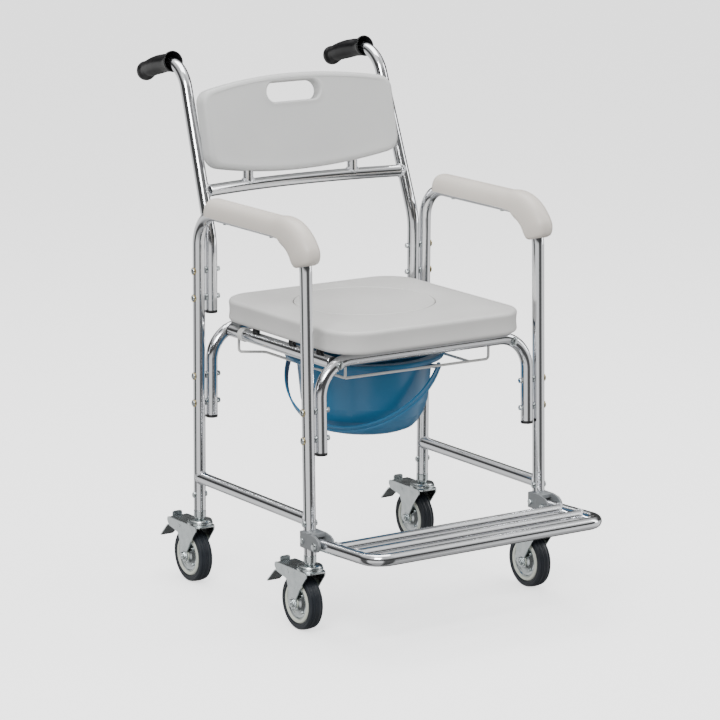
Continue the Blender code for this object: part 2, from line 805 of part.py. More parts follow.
def build_footrest(slot, bracket_slot, bolt_slot):
    pivot = (0, *FOOT_PIVOT)
    rear = FOOT_PIVOT[0] + 0.0118
    corners = [
        (-FOOT_X, rear, foot_z(rear)),
        (-FOOT_X, *FOOT_FRONT),
        (FOOT_X, *FOOT_FRONT),
        (FOOT_X, rear, foot_z(rear)),
    ]
    axis = rounded_path(corners, [FOOT_BEND_R, FOOT_BEND_R], 4)
    frame = add_object("footrest_frame", rod(axis, TUBE_R), slot, origin=pivot)
    bars = [[(sign * FOOT_X, y, foot_z(y)) for sign in (-1, 1)] for y in FOOT_BAR_Y]
    for number, bar in enumerate(bars, 1):
        boolean(frame, rod(bar, TUBE_R), "UNION", "bar_%d" % number)
    boolean(frame, rod(longer(axis), BORE_R), "DIFFERENCE", "bore")
    for number, bar in enumerate(bars, 1):
        boolean(frame, rod(bar, BORE_R), "DIFFERENCE", "bar_bore_%d" % number)
    hole = moved(along_x(cylinder(0.0036, FOOT_X - 0.02, FOOT_X + 0.02, 8)), pivot)
    boolean(frame, gathered([hole, mirrored(hole)]), "DIFFERENCE", "holes")
    leg_y = front_leg_y(0.168)
    leg = [(SIDE_X, front_leg_y(z), z) for z in (0.14, 0.20)]
    outline = [
        (leg_y + 0.009, BRACKET_Z[0]),
        (leg_y + 0.009, BRACKET_Z[1]),
        (leg_y - 0.026, BRACKET_Z[1]),
        (leg_y - 0.042, 0.1812),
        (leg_y - 0.0495, 0.1765),
        (leg_y - 0.0530, 0.1690),
        (leg_y - 0.0515, 0.1615),
        (leg_y - 0.0460, 0.1565),
        (leg_y - 0.0380, BRACKET_Z[0]),
    ]
    slot_low = (0.2321, leg_y - 0.060, 0.140)
    slot_high = (0.2575, leg_y - 0.0135, 0.176)
    above_low = (0.2321, leg_y - 0.060, 0.150)
    above_high = (0.2575, leg_y - 0.0255, 0.190)
    pin = [FOOT_PIVOT]
    for word, sign in (("left", -1), ("right", 1)):
        flip = mirrored if sign < 0 else lambda shape: shape
        block = flip(prism(outline, "X", *BRACKET_X))
        bracket = add_object("footrest_bracket_" + word, block, bracket_slot, smooth=False)
        boolean(bracket, flip(rod(leg, 0.0113, 16)), "DIFFERENCE", "leg")
        boolean(bracket, flip(box(slot_low, slot_high)), "DIFFERENCE", "slot")
        boolean(bracket, flip(box(above_low, above_high)), "DIFFERENCE", "opening")
        boolean(bracket, flip(bolt_holes(0.220, 0.270, pin)), "DIFFERENCE", "hole")
        profile = [
            (0.0000, 0.2245),
            (0.0060, 0.2245),
            (0.0060, 0.2287),
            (SHANK_R, 0.2287),
            (SHANK_R, 0.2628),
            (0.0075, 0.2628),
            (0.0060, 0.2665),
            (0.0000, 0.2665),
        ]
        bolt = flip(moved(along_x(turned(profile, 8)), pivot))
        add_object("footrest_pivot_bolt_" + word, bolt, bolt_slot)


def build_frame_bolts(slot):
    profile = [
        (0.0000, 0.2045),
        (0.0050, 0.2045),
        (0.0050, 0.2097),
        (SHANK_R, 0.2097),
        (SHANK_R, 0.2323),
        (0.0060, 0.2323),
        (0.0060, 0.2357),
        (SHANK_R, 0.2357),
        (SHANK_R, 0.2583),
        (0.0065, 0.2583),
        (0.0065, 0.2595),
        (0.0045, 0.2620),
        (0.0000, 0.2625),
    ]
    shape = along_x(turned(profile, 6))
    for word, flip in (("left", mirrored), ("right", lambda shape: shape)):
        mesh = mesh_of("frame_bolt_" + word, flip(shape), True)
        mesh.materials.append(slot)
        for place, y, z in frame_bolt_places():
            add_copy("bolt_" + place + "_" + word, mesh, (0, y, z))


# ---------------------------------------------------------------- casters


def caster_stem():
    profile = [
        (0.0000, 0.1050),
        (0.0065, 0.1050),
        (0.0065, 0.1075),
        (0.0040, 0.1075),
        (0.0040, 0.1185),
        (0.0225, 0.1185),
        (0.0225, 0.1225),
        (0.0080, 0.1225),
        (0.0080, 0.1270),
        (0.0110, 0.1270),
        (0.0110, 0.1395),
        (0.0086, 0.1395),
        (0.0086, 0.1720),
        (0.0000, 0.1720),
    ]
    return turned(profile, 10)


def caster_plate():
    """The fork's top plate in plan."""
    half = FORK_HALF
    outline = [
        (half, 0.078),
        (-half, 0.078),
        (-half, -0.018),
        (-0.015, -0.024),
        (0.015, -0.024),
        (half, -0.018),
    ]
    return prism(outline, "Z", 0.110, 0.113)


def caster_cheek():
    """One side plate of the fork, from the top plate down to the axle."""
    boss = np.radians(np.linspace(140, 350, 6))
    around = [(AXLE[0] + 0.011 * np.cos(a), AXLE[1] + 0.011 * np.sin(a)) for a in boss]
    outline = [(-0.018, 0.112), (-0.018, 0.104), (-0.008, 0.092), (0.003, 0.078)]
    outline += around
    outline += [(0.040, 0.058), (0.040, 0.075), (0.046, 0.090), (0.077, 0.096)]
    outline += [(0.085, 0.105), (0.083, 0.112)]
    return prism(outline, "X", FORK_INNER, FORK_HALF)


def wheel_core():
    profile = [
        (0.0043, -HUB_HALF),
        (0.0100, -HUB_HALF),
        (0.0100, -0.0120),
        (0.0350, -0.0130),
        (RING_R, -0.0105),
        (RING_R, 0.0105),
        (0.0350, 0.0130),
        (0.0100, 0.0120),
        (0.0100, HUB_HALF),
        (0.0043, HUB_HALF),
    ]
    return along_x(turned(profile, 20, loop=True))


def tyre():
    profile = [
        (RING_R + 0.0005, -0.0105),
        (0.0440, -TYRE_HALF),
        (0.0485, -0.0095),
        (WHEEL_R, -0.0040),
        (WHEEL_R, 0.0040),
        (0.0485, 0.0095),
        (0.0440, TYRE_HALF),
        (RING_R + 0.0005, 0.0105),
    ]
    return along_x(turned(profile, 24, loop=True))


def axle_bolt():
    profile = [
        (0.0000, -0.0260),
        (0.0070, -0.0255),
        (0.0070, -0.0208),
        (0.0038, -0.0208),
        (0.0038, 0.0208),
        (0.0070, 0.0208),
        (0.0070, 0.0255),
        (0.0000, 0.0260),
    ]
    return along_x(turned(profile, 8))


def brake_lever():
    """A bent plate over the back of the tyre, about the pivot, with an upright lug."""
    upper = [(-0.004, 0.003), (0.038, -0.003), (0.040, -0.003), (0.040, 0.017)]
    upper += [(0.043, 0.017), (0.044, -0.004), (0.053, -0.0095), (0.087, -0.040)]
    lower = [(0.085, -0.042), (0.051, -0.0120), (0.037, -0.0055), (-0.004, 0.000)]
    return prism(upper + lower, "X", -0.0155, 0.0155)


def build_casters(zinc, ring_slot, tyre_slot):
    stem = mesh_of("stem", caster_stem(), True)
    plate = mesh_of("plate", caster_plate(), False)
    wheel = mesh_of("wheel", wheel_core(), True)
    tread = mesh_of("tread", tyre(), True)
    bolt = mesh_of("axle", axle_bolt(), True)
    lever = mesh_of("lever", brake_lever(), False)
    for mesh, slot in (
        (stem, zinc),
        (plate, zinc),
        (wheel, ring_slot),
        (tread, tyre_slot),
        (bolt, zinc),
        (lever, zinc),
    ):
        mesh.materials.append(slot)
    cheeks = [caster_cheek(), mirrored(caster_cheek())]
    cup = cylinder(0.0235, 0.112, 0.1182, 16)
    king_hole = cylinder(0.0048, 0.100, 0.125, 8)
    axle_hole = moved(along_x(cylinder(0.0043, -0.03, 0.03, 10)), (0, *AXLE))
    pin_hole = moved(along_x(cylinder(0.0034, -0.03, 0.03, 8)), (0, *BRAKE_PIVOT))
    holes = gathered([king_hole, axle_hole, pin_hole])
    pin = along_x(cylinder(0.0030, -0.0203, 0.0203, 8))
    for end in ("front", "rear"):
        for side, sign in (("left", -1), ("right", 1)):
            tag = "_" + end + "_" + side
            centre = np.array((sign * SIDE_X, CASTER_Y[end], 0))
            add_copy("caster_stem" + tag, stem, centre)
            fork = add_copy("caster_fork" + tag, plate, centre)
            for number, cheek in enumerate(cheeks, 1):
                boolean(fork, cheek, "UNION", "cheek_%d" % number, centre)
            boolean(fork, cup, "UNION", "cup", centre)
            boolean(fork, holes, "DIFFERENCE", "holes", centre)
            hub = centre + (0, *AXLE)
            add_copy("wheel_core" + tag, wheel, hub)
            add_copy("tyre" + tag, tread, hub)
            add_copy("axle_bolt" + tag, bolt, hub)
            pivot = centre + (0, *BRAKE_PIVOT)
            brake = add_copy("brake_pedal" + tag, lever, pivot)
            boolean(brake, pin, "UNION", "pin", pivot)


def main():
    clear_scene()
    aluminium = material("aluminium_tube", (0.78, 0.79, 0.80), 1.0, 0.18)
    zinc = material("zinc_steel", (0.62, 0.64, 0.67), 1.0, 0.30)
    tyre_slot = material("tyre_rubber", (0.030, 0.035, 0.042), 0.0, 0.60)
    ring_slot = material("rim_cream", (0.78, 0.80, 0.70), 0.0, 0.45)
    pad_slot = material("pad_grey", (0.68, 0.64, 0.59), 0.0, 0.50)
    panel_slot = material("panel_grey", (0.58, 0.58, 0.56), 0.0, 0.45)
    seat_slot = material("seat_vinyl", (0.60, 0.60, 0.58), 0.0, 0.55)
    bucket_slot = material("bucket_blue", (0.050, 0.210, 0.390), 0.0, 0.35)
    grip_slot = material("grip_black", (0.015, 0.015, 0.016), 0.0, 0.35)
    wire_slot = material("wire_white", (0.80, 0.80, 0.78), 0.0, 0.35)
    bracket_slot = material("bracket_grey", (0.22, 0.23, 0.24), 0.6, 0.50)

    build_side_frames(aluminium)
    build_seat_frame(aluminium)
    build_back(aluminium, panel_slot, grip_slot)
    build_arm_pads(pad_slot)
    build_seat(seat_slot)
    build_hanger(wire_slot)
    build_bucket(bucket_slot)
    build_footrest(aluminium, bracket_slot, zinc)
    build_frame_bolts(zinc)
    build_casters(zinc, ring_slot, tyre_slot)


main()
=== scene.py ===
# %% [markdown]
# # A commode chair on four casters
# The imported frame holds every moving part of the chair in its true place.  This lesson
# dresses that frame: each piece is a surface worked out with numpy, and each finish is
# a small set of shader nodes.  Lengths are metres, +Z is up, the chair faces -Y, and left
# and right are as seen from in front of it, so left is -X.

import bmesh
import bpy
import numpy as np
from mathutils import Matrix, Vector


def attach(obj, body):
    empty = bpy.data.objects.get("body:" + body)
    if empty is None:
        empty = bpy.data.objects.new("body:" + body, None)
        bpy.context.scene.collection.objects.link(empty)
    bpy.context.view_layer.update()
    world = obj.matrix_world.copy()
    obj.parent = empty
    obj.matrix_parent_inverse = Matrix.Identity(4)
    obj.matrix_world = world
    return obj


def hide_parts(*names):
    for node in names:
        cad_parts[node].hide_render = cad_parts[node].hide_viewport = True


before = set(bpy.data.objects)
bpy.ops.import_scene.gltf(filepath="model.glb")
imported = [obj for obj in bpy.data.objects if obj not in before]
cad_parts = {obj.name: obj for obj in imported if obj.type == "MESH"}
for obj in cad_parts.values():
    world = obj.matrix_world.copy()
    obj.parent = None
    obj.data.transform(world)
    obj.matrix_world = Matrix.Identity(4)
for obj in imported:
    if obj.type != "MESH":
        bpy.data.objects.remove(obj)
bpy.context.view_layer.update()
SIDES = (("left", -1), ("right", 1))
ENDS = ("front", "rear")

# %% [markdown]
# A surface here is a grid of points: rings one after another, each with the same number
# of points.  Quads join neighbouring rings.  The grid can wrap both ways, which makes a
# closed ring, or be capped at both ends.  Every quad also carries its own place in the
# UV map, in metres along and in turns around, so that a grain can run along a tube.


# %% Grid surfaces
def grid(rings, ends="cap"):
    """Joins rings (R, S, 3) with quads; ends is cap, loop or open.

    Quad (i, j) has the corners (i, j), (i, j+1), (i+1, j+1), (i+1, j), where j wraps.
    """
    rings = np.asarray(rings, float)
    rows, cols = rings.shape[:2]
    row = np.arange(rows if ends == "loop" else rows - 1)[:, None]
    col = np.arange(cols)[None, :]
    row_next = (row + 1) % rows
    col_next = (col + 1) % cols
    corners = (
        row * cols + col,
        row * cols + col_next,
        row_next * cols + col_next,
        row_next * cols + col,
    )
    quads = np.stack(np.broadcast_arrays(*corners), -1).reshape(-1, 4)
    gaps = np.linalg.norm(np.diff(rings.mean(1), axis=0, append=rings[:1].mean(1)), axis=1)
    along = np.append(0, np.cumsum(gaps))
    low = np.broadcast_to(along[row], (len(row), cols))
    high = np.broadcast_to(along[row + 1], (len(row), cols))
    near = np.broadcast_to(col / cols, (len(row), cols))
    far = near + 1 / cols
    uv = np.stack([low, near, low, far, high, far, high, near], -1).reshape(-1, 4, 2)
    caps = []
    if ends == "cap":
        caps = [np.arange(cols)[::-1], (rows - 1) * cols + np.arange(cols)]
    return {"points": rings.reshape(-1, 3), "quads": quads, "uv": uv, "caps": caps}


def together(*shapes):
    """Several surfaces as one: each one's numbering moves up past those before it."""
    starts = np.append(0, np.cumsum([len(shape["points"]) for shape in shapes]))
    return {
        "points": np.vstack([shape["points"] for shape in shapes]),
        "quads": np.vstack([shape["quads"] + at for shape, at in zip(shapes, starts)]),
        "uv": np.vstack([shape["uv"] for shape in shapes]),
        "caps": [cap + at for shape, at in zip(shapes, starts) for cap in shape["caps"]],
    }


def placed(shape, move=(0, 0, 0), scale=(1, 1, 1)):
    """The same surface scaled about the origin, such as mirrored in X, then moved."""
    return {**shape, "points": shape["points"] * scale + np.asarray(move, float)}


def both_sides(shape):
    """A surface and its mirror image in X."""
    return together(shape, placed(shape, scale=(-1, 1, 1)))


def add_piece(name, shape, finish, body, replaces=(), sharp_deg=35, bevel=0.0):
    """Puts a surface in the scene as one named piece that moves with a body."""
    mesh = bpy.data.meshes.new(name)
    faces = shape["quads"].tolist() + [cap.tolist() for cap in shape["caps"]]
    mesh.from_pydata(shape["points"].tolist(), [], faces)
    uv = np.zeros((len(mesh.loops), 2), np.float32)
    flat = shape["uv"].reshape(-1, 2)
    uv[: len(flat)] = flat
    mesh.uv_layers.new(name="UVMap").data.foreach_set("uv", uv.ravel())
    work = bmesh.new()
    work.from_mesh(mesh)
    bmesh.ops.recalc_face_normals(work, faces=work.faces)
    work.to_mesh(mesh)
    work.free()
    mesh.materials.append(finish)
    mesh.polygons.foreach_set("use_smooth", np.ones(len(mesh.polygons), bool))
    mesh.set_sharp_from_angle(angle=np.radians(sharp_deg))
    piece = bpy.data.objects.new(name, mesh)
    bpy.context.scene.collection.objects.link(piece)
    if bevel:
        edge = piece.modifiers.new("rounded edges", "BEVEL")
        edge.width = bevel
        edge.segments = 2
        edge.limit_method = "ANGLE"
        edge.angle_limit = np.radians(40)
    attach(piece, body)
    if replaces:
        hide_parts(*replaces)
    return piece


# %% [markdown]
# Most of the chair is bent tube, so a line with rounded corners comes first.  A ring of
# points is then carried along it.  Its two directions come from one guide vector that is
# never parallel to the line, so no frame has to be passed on from point to point.


# %% Lines, pipes and turned shapes
def unit(vectors):
    vectors = np.asarray(vectors, float)
    return vectors / np.linalg.norm(vectors, axis=-1, keepdims=True)


def rounded(corners, radii, steps=14):
    """A line through the corners; each inner corner becomes an arc of its radius.

    The arc starts radius * tan(turn / 2) before the corner and turns about its centre.
    """
    corners = np.asarray(corners, float)
    parts = [corners[:1]]
    for before, corner, after, radius in zip(corners, corners[1:], corners[2:], radii):
        into = unit(corner - before)
        out = unit(after - corner)
        turn = np.arccos(np.clip(into @ out, -1, 1))
        angle = np.linspace(0, turn, steps + 1)[:, None]
        inward = unit(out - into * (into @ out))
        start = corner - into * radius * np.tan(turn / 2)
        parts.append(start + radius * (inward * (1 - np.cos(angle)) + into * np.sin(angle)))
    return np.vstack([*parts, corners[-1:]])


def directions(path, guide, loop=False):
    """Along, across and up at each point: across is the guide made square to along."""
    if loop:
        along = unit(np.roll(path, -1, axis=0) - np.roll(path, 1, axis=0))
    else:
        along = unit(np.gradient(path, axis=0))
    guide = np.broadcast_to(np.asarray(guide, float), path.shape)
    across = unit(guide - along * (guide * along).sum(1, keepdims=True))
    return along, across, np.cross(along, across)


def swept(path, section, guide, ends="cap"):
    """A flat section (S, 2), or one section per point (R, S, 2), carried along a path."""
    _, across, up = directions(path, guide, ends == "loop")
    section = np.asarray(section, float)
    if section.ndim == 2:
        section = np.broadcast_to(section, (len(path), *section.shape))
    wide = section[:, :, :1] * across[:, None]
    high = section[:, :, 1:] * up[:, None]
    return grid(path[:, None] + wide + high, ends)


def circle(radius, count):
    angle = np.arange(count) * 2 * np.pi / count
    return np.stack([np.cos(angle), np.sin(angle)], -1) * np.reshape(radius, (-1, 1, 1))


def pipe(path, radius=0.011, guide=(1, 0, 0), count=40, edge=0.0006):
    """A round bar along a path, its two ends slightly rounded over."""
    path = np.asarray(path, float)
    start = unit(path[1] - path[0]) * edge
    end = unit(path[-1] - path[-2]) * edge
    path = np.vstack([path[0], path[0] + start, path[1:-1], path[-1] - end, path[-1]])
    radii = np.full(len(path), float(radius))
    radii[[0, -1]] -= edge
    return swept(path, circle(radii, count), guide)


def profile(corners, radius, steps=4):
    """A turned shape's outline of (radius, height), each corner eased by a radius."""
    corners = np.asarray(corners, float)
    flat = np.column_stack([corners, np.zeros(len(corners))])
    runs = np.linalg.norm(np.diff(corners, axis=0), axis=1)
    room = np.minimum(runs[:-1], runs[1:]) * 0.45
    return rounded(flat, np.minimum(radius, room), steps)[:, :2]


def turned(outline, count=48, axis="z", ends="cap"):
    """Turns (radius, height) about an axis: (r cos a, r sin a, h), with its order rolled."""
    angle = np.arange(count) * 2 * np.pi / count
    radius, height = np.asarray(outline, float).T[:, :, None]
    radius = np.maximum(radius, 1e-5)
    rings = np.stack(np.broadcast_arrays(radius * np.cos(angle), radius * np.sin(angle), height), -1)
    return grid(rings[..., [2, 0, 1] if axis == "x" else [0, 1, 2]], ends)


def stood(shape, start, end):
    """Stands a shape made along Z on the line from start to end."""
    along = unit(np.subtract(end, start))
    across = unit(np.cross(along, (1, 0.2, 0)))
    turn = np.array([np.cross(across, along), across, along])
    return {**shape, "points": shape["points"] @ turn + np.asarray(start, float)}


def slab(outline, axis, low, high):
    """A flat outline given a thickness; it is (y, z) for axis x and (x, y) for axis z."""
    outline = np.asarray(outline, float)
    levels = np.array([low, high])[:, None]
    flat = np.broadcast_to(outline, (2, *outline.shape))
    level = np.broadcast_to(levels, flat.shape[:2])[..., None]
    order = (level, flat) if axis == "x" else (flat, level)
    return grid(np.concatenate(order, -1))


def hexagon(across_flats):
    return circle(across_flats / np.sqrt(3), 6)[0]


def weld(centre, along, up, tube=0.011, onto=0.011, bead=0.0019, ripples=26):
    """A rippled bead where one tube meets another square on.

    The seam is r cos a sideways, r sin a up and sqrt(R^2 - (r cos a)^2) out from the
    other tube's centre; the bead's radius swells and shrinks along it.
    """
    angle = np.arange(130) * 2 * np.pi / 130
    along, up = unit(along), unit(up)
    side = np.cross(along, up)
    reach = np.sqrt(np.maximum(onto**2 - (tube * np.cos(angle)) ** 2, (0.3 * onto) ** 2))
    parts = (tube * np.cos(angle), tube * np.sin(angle), reach)
    path = np.asarray(centre, float) + sum(
        np.outer(length, way) for length, way in zip(parts, (side, up, along))
    )
    away = path - np.asarray(centre, float) - np.outer(reach, along) * 0.6
    swell = bead * (1 + 0.16 * np.sin(ripples * angle) + 0.10 * np.sin(3 * angle + 1))
    return swept(path, circle(swell, 10), away, ends="loop")


# %% [markdown]
# Finishes are written as sums.  A Wire stands for one socket, and adding or multiplying
# it adds the Math node that does so.  One method makes every other node.  Only what
# changes over a surface is wired; plain numbers are set on the shader itself.


# %% Shader values as expressions
class Wire:
    """A number that a node gives out, used in ordinary sums."""

    def __init__(self, maker, socket):
        self.maker = maker
        self.socket = socket

    def sum_with(self, operation, first, second):
        return self.maker.node("ShaderNodeMath", {"operation": operation}, {0: first, 1: second})

    def __add__(self, other):
        return self.sum_with("ADD", self, other)

    def __sub__(self, other):
        return self.sum_with("SUBTRACT", self, other)

    def __rsub__(self, other):
        return self.sum_with("SUBTRACT", other, self)

    def __mul__(self, other):
        return self.sum_with("MULTIPLY", self, other)

    __radd__ = __add__
    __rmul__ = __mul__


class Nodes:
    """One node tree, and node(), which adds a node and gives out one of its sockets."""

    def __init__(self, tree):
        self.tree = tree

    def node(self, kind, settings=None, inputs=None, output=0):
        made = self.tree.nodes.new(kind)
        for key, value in (settings or {}).items():
            setattr(made, key, value)
        for key, value in (inputs or {}).items():
            if isinstance(value, Wire):
                self.tree.links.new(value.socket, made.inputs[key])
            else:
                made.inputs[key].default_value = value
        return Wire(self, made.outputs[output])


class Finish(Nodes):
    """One material: plain numbers on its shader, and nodes for what changes over it."""

    def __init__(self, name, colour, **numbers):
        self.material = bpy.data.materials.new(name)
        self.material.use_nodes = True
        super().__init__(self.material.node_tree)
        self.shader = self.tree.nodes["Principled BSDF"]
        self.shader.inputs["Base Color"].default_value = (*colour, 1)
        self.material.diffuse_color = (*colour, 1)
        for key, value in numbers.items():
            self.shader.inputs[key.replace("_", " ")].default_value = value

    def feed(self, **wires):
        for key, wire in wires.items():
            self.tree.links.new(wire.socket, self.shader.inputs[key.replace("_", " ")])

    def place(self, kind="Object", scale=(1, 1, 1)):
        """Object places a pattern in the chair; UV runs it along the piece."""
        where = self.node("ShaderNodeTexCoord", output=kind)
        return self.node("ShaderNodeMapping", None, {"Vector": where, "Scale": scale})

    def noise(self, scale, detail=3.0, kind="Object", stretch=(1, 1, 1)):
        inputs = {"Vector": self.place(kind, stretch), "Scale": scale, "Detail": detail}
        return self.node("ShaderNodeTexNoise", None, inputs)

    def pebbles(self, size, kind="Object"):
        """Cells of about that size: 0 in the middle of each and rising to its edge."""
        inputs = {"Vector": self.place(kind), "Scale": 1 / size}
        return self.node("ShaderNodeTexVoronoi", None, inputs)

    def blend(self, factor, first, second):
        """One colour where the factor is 0 and the other where it is 1."""
        inputs = {"Factor": factor, 6: (*first, 1), 7: (*second, 1)}
        return self.node("ShaderNodeMix", {"data_type": "RGBA"}, inputs, output=2)

    def bump(self, height, distance, strength=1.0):
        inputs = {"Strength": strength, "Distance": distance, "Height": height}
        self.feed(Normal=self.node("ShaderNodeBump", None, inputs))

    def clear(self, wire, low, high):
        """Stretches a range of values to 0..1 and clamps it."""
        inputs = {"Value": wire, "From Min": low, "From Max": high}
        return self.node("ShaderNodeMapRange", None, inputs)


# %% [markdown]
# The tubes are drawn aluminium, polished along their length, so fine streaks run along
# them: noise that is long one way and short the other on the UV map.  They change only
# the roughness and a very low bump.


# %% Metal finishes
def streaked_metal(name, colour, roughness, spread):
    made = Finish(name, colour, Metallic=1.0)
    streaks = made.noise(1.0, 4.0, "UV", (9, 260, 1))
    cloud = made.noise(11.0, 2.0)
    made.feed(Roughness=roughness + spread * (streaks - 0.35) + 0.07 * (cloud - 0.5))
    made.bump(streaks, 0.00004, 0.5)
    return made.material


def plated_metal(name, dark, light, roughness=0.26):
    """Zinc plate: faint flakes of two close tones."""
    made = Finish(name, light, Metallic=1.0)
    flake = made.pebbles(0.004)
    cloud = made.noise(70.0, 3.0)
    made.feed(Base_Color=made.blend(made.clear(cloud + 0.15 * flake, 0.30, 0.75), dark, light))
    made.feed(Roughness=roughness + 0.10 * (cloud - 0.5))
    made.bump(cloud, 0.00002, 0.4)
    return made.material


aluminium = streaked_metal("polished aluminium tube", (0.80, 0.81, 0.83), 0.11, 0.14)
weld_metal = plated_metal("aluminium weld bead", (0.50, 0.51, 0.53), (0.74, 0.75, 0.77), 0.42)
zinc = plated_metal("bright zinc plate", (0.53, 0.575, 0.58), (0.66, 0.70, 0.705), 0.24)
brass = plated_metal("yellow passivated washer", (0.56, 0.44, 0.22), (0.78, 0.68, 0.42))
cast_grey = Finish("sand-cast grey bracket", (0.31, 0.325, 0.335), Metallic=0.6)
sand = cast_grey.noise(900.0, 2.0)
cast_grey.feed(Roughness=0.42 + 0.25 * sand)
cast_grey.bump(sand, 0.00035, 0.6)
cast_grey = cast_grey.material
print("metals:", aluminium.name, zinc.name, brass.name)

# %% [markdown]
# The plastics and rubbers differ in gloss and in grain.  Grain is a bump of small cells,
# and a slow cloud of noise breaks up the roughness, as hands and moulds do.


# %% Plastic and rubber finishes
def moulded(name, dark, light, roughness, grain=0.0, depth=0.0, coat=0.0, patch=9.0):
    """A moulded skin: slow colour cloud, uneven gloss, and a grain of cells."""
    made = Finish(name, light, Coat_Weight=coat, Coat_Roughness=0.12)
    cloud = made.noise(patch, 4.0)
    fine = made.noise(240.0, 2.0)
    made.feed(Base_Color=made.blend(made.clear(cloud, 0.25, 0.75), dark, light))
    made.feed(Roughness=roughness + 0.12 * (cloud - 0.5) + 0.06 * (fine - 0.5))
    height = made.pebbles(grain) + 0.5 * fine if grain else fine
    made.bump(height, depth or 0.00003, 0.7)
    return made.material


pad_foam = moulded(
    "warm grey foam skin",
    dark=(0.68, 0.63, 0.57),
    light=(0.735, 0.685, 0.625),
    roughness=0.42,
    grain=0.0011,
    depth=0.00009,
)
panel_plastic = moulded(
    "light grey moulded back",
    dark=(0.595, 0.60, 0.595),
    light=(0.63, 0.635, 0.625),
    roughness=0.42,
    grain=0.0009,
    depth=0.00006,
)
seat_skin = moulded(
    "light grey seat skin",
    dark=(0.625, 0.62, 0.605),
    light=(0.675, 0.67, 0.655),
    roughness=0.46,
    grain=0.0012,
    depth=0.00010,
)
bucket_plastic = moulded(
    "blue bucket plastic",
    dark=(0.028, 0.165, 0.330),
    light=(0.034, 0.185, 0.360),
    roughness=0.32,
    coat=0.1,
)
grip_rubber = moulded(
    "glossy black grip",
    dark=(0.004, 0.004, 0.005),
    light=(0.008, 0.008, 0.009),
    roughness=0.34,
    coat=0.12,
)
black_plastic = moulded("black plastic plug", (0.010, 0.010, 0.011), (0.020, 0.020, 0.021), 0.38)
tyre_rubber = moulded(
    "slate black tyre",
    dark=(0.010, 0.014, 0.020),
    light=(0.018, 0.023, 0.031),
    roughness=0.42,
    grain=0.0013,
    depth=0.00006,
    patch=30,
)
ring_plastic = moulded("cream wheel ring", (0.70, 0.735, 0.64), (0.77, 0.80, 0.71), 0.40)
wire_coat = moulded("white coated wire", (0.74, 0.74, 0.72), (0.82, 0.82, 0.80), 0.32, coat=0.2)
print("plastics:", pad_foam.name, panel_plastic.name, seat_skin.name)

# %% [markdown]
# ## The side frames
# Each side is one tube: up the front leg, over the arm and down the rear leg, with a low
# rail welded across.  Legs lean a few millimetres, so their places come from two lines.

# %% Side frames
def add_tube(name, shape, nodes, body="chair_frame"):
    return add_piece(name, shape, aluminium, body, nodes)


def add_beads(name, shape, body="chair_frame"):
    return add_piece(name, shape, weld_metal, body)


TUBE, SIDE_X, INNER_X, ARM_Z, ARM_BEND = 0.011, 0.247, 0.221, 0.695, 0.062


def front_y(z):
    return -0.2079 + 0.0218 * (z - 0.3)


def rear_y(z):
    return 0.1596 - 0.0110 * (z - 0.3)


def leg_point(x, leg, z):
    return (x, leg(z), z)


side_line = rounded(
    [
        leg_point(SIDE_X, front_y, 0.140),
        leg_point(SIDE_X, front_y, ARM_Z),
        leg_point(SIDE_X, rear_y, ARM_Z),
        leg_point(SIDE_X, rear_y, 0.140),
    ],
    [ARM_BEND, ARM_BEND],
    20,
)
LOW_RAIL_Z = 0.2015
low_rail = [leg_point(SIDE_X, front_y, LOW_RAIL_Z), leg_point(SIDE_X, rear_y, LOW_RAIL_Z)]
for word, sign in SIDES:
    flip = (sign, 1, 1)
    frame_shape = together(pipe(side_line), pipe(low_rail))
    add_tube("side_frame_tube_" + word, placed(frame_shape, scale=flip), ["side_frame_" + word])
    beads = together(
        weld(low_rail[0], (0, 1, 0), (0, 0, 1)),
        weld(low_rail[1], (0, -1, 0), (0, 0, 1)),
    )
    add_beads("low_rail_welds_" + word, placed(beads, scale=flip))
print("side frame line:", len(side_line), "points")

# %% [markdown]
# ## The seat frame
# Two upside-down U tubes stand inside the legs and carry the seat.  A rail joins them on
# each side, bolted into their bends.  Black caps close the feet, and the rails' ends.

# %% Seat frame
SEAT_TOP_Z, SEAT_BEND, RAIL_X, RAIL_Z = 0.476, 0.060, 0.186, 0.4705
CAP = 0.0050


def u_line(leg, foot):
    corners = [
        leg_point(-INNER_X, leg, foot),
        leg_point(-INNER_X, leg, SEAT_TOP_Z),
        leg_point(INNER_X, leg, SEAT_TOP_Z),
        leg_point(INNER_X, leg, foot),
    ]
    return rounded(corners, [SEAT_BEND, SEAT_BEND], 18)


def end_cap(radius=0.0113, length=CAP):
    """A plug's head: a short round disc with a domed face, facing +Z."""
    outline = [(0, -0.012), (0.0092, -0.012), (0.0092, 0), (radius, 0), (radius, length)]
    return turned(profile([*outline, (0.004, length + 0.0006), (0, length + 0.0006)], 0.0012), 32)


caps = []
for end, leg, foot in (("front", front_y, 0.3142), ("rear", rear_y, 0.3114)):
    add_tube(
        "seat_u_tube_" + end,
        pipe(u_line(leg, foot + CAP), guide=(0, 1, 0)),
        ["seat_frame_" + end],
    )
    caps.append(stood(end_cap(), leg_point(INNER_X, leg, foot + CAP), leg_point(INNER_X, leg, foot)))
POST_FOOT = 0.5057
caps.append(
    stood(end_cap(), leg_point(INNER_X, rear_y, POST_FOOT + CAP), leg_point(INNER_X, rear_y, POST_FOOT))
)
RAIL_ENDS = (-0.1925, 0.1460)
plug_front = (RAIL_X, RAIL_ENDS[0] + 0.003, RAIL_Z)
plug_rear = (RAIL_X, RAIL_ENDS[1] - 0.003, RAIL_Z)
caps.append(stood(end_cap(0.0112, 0.003), plug_front, (RAIL_X, -1, RAIL_Z)))
caps.append(stood(end_cap(0.0112, 0.003), plug_rear, (RAIL_X, 1, RAIL_Z)))
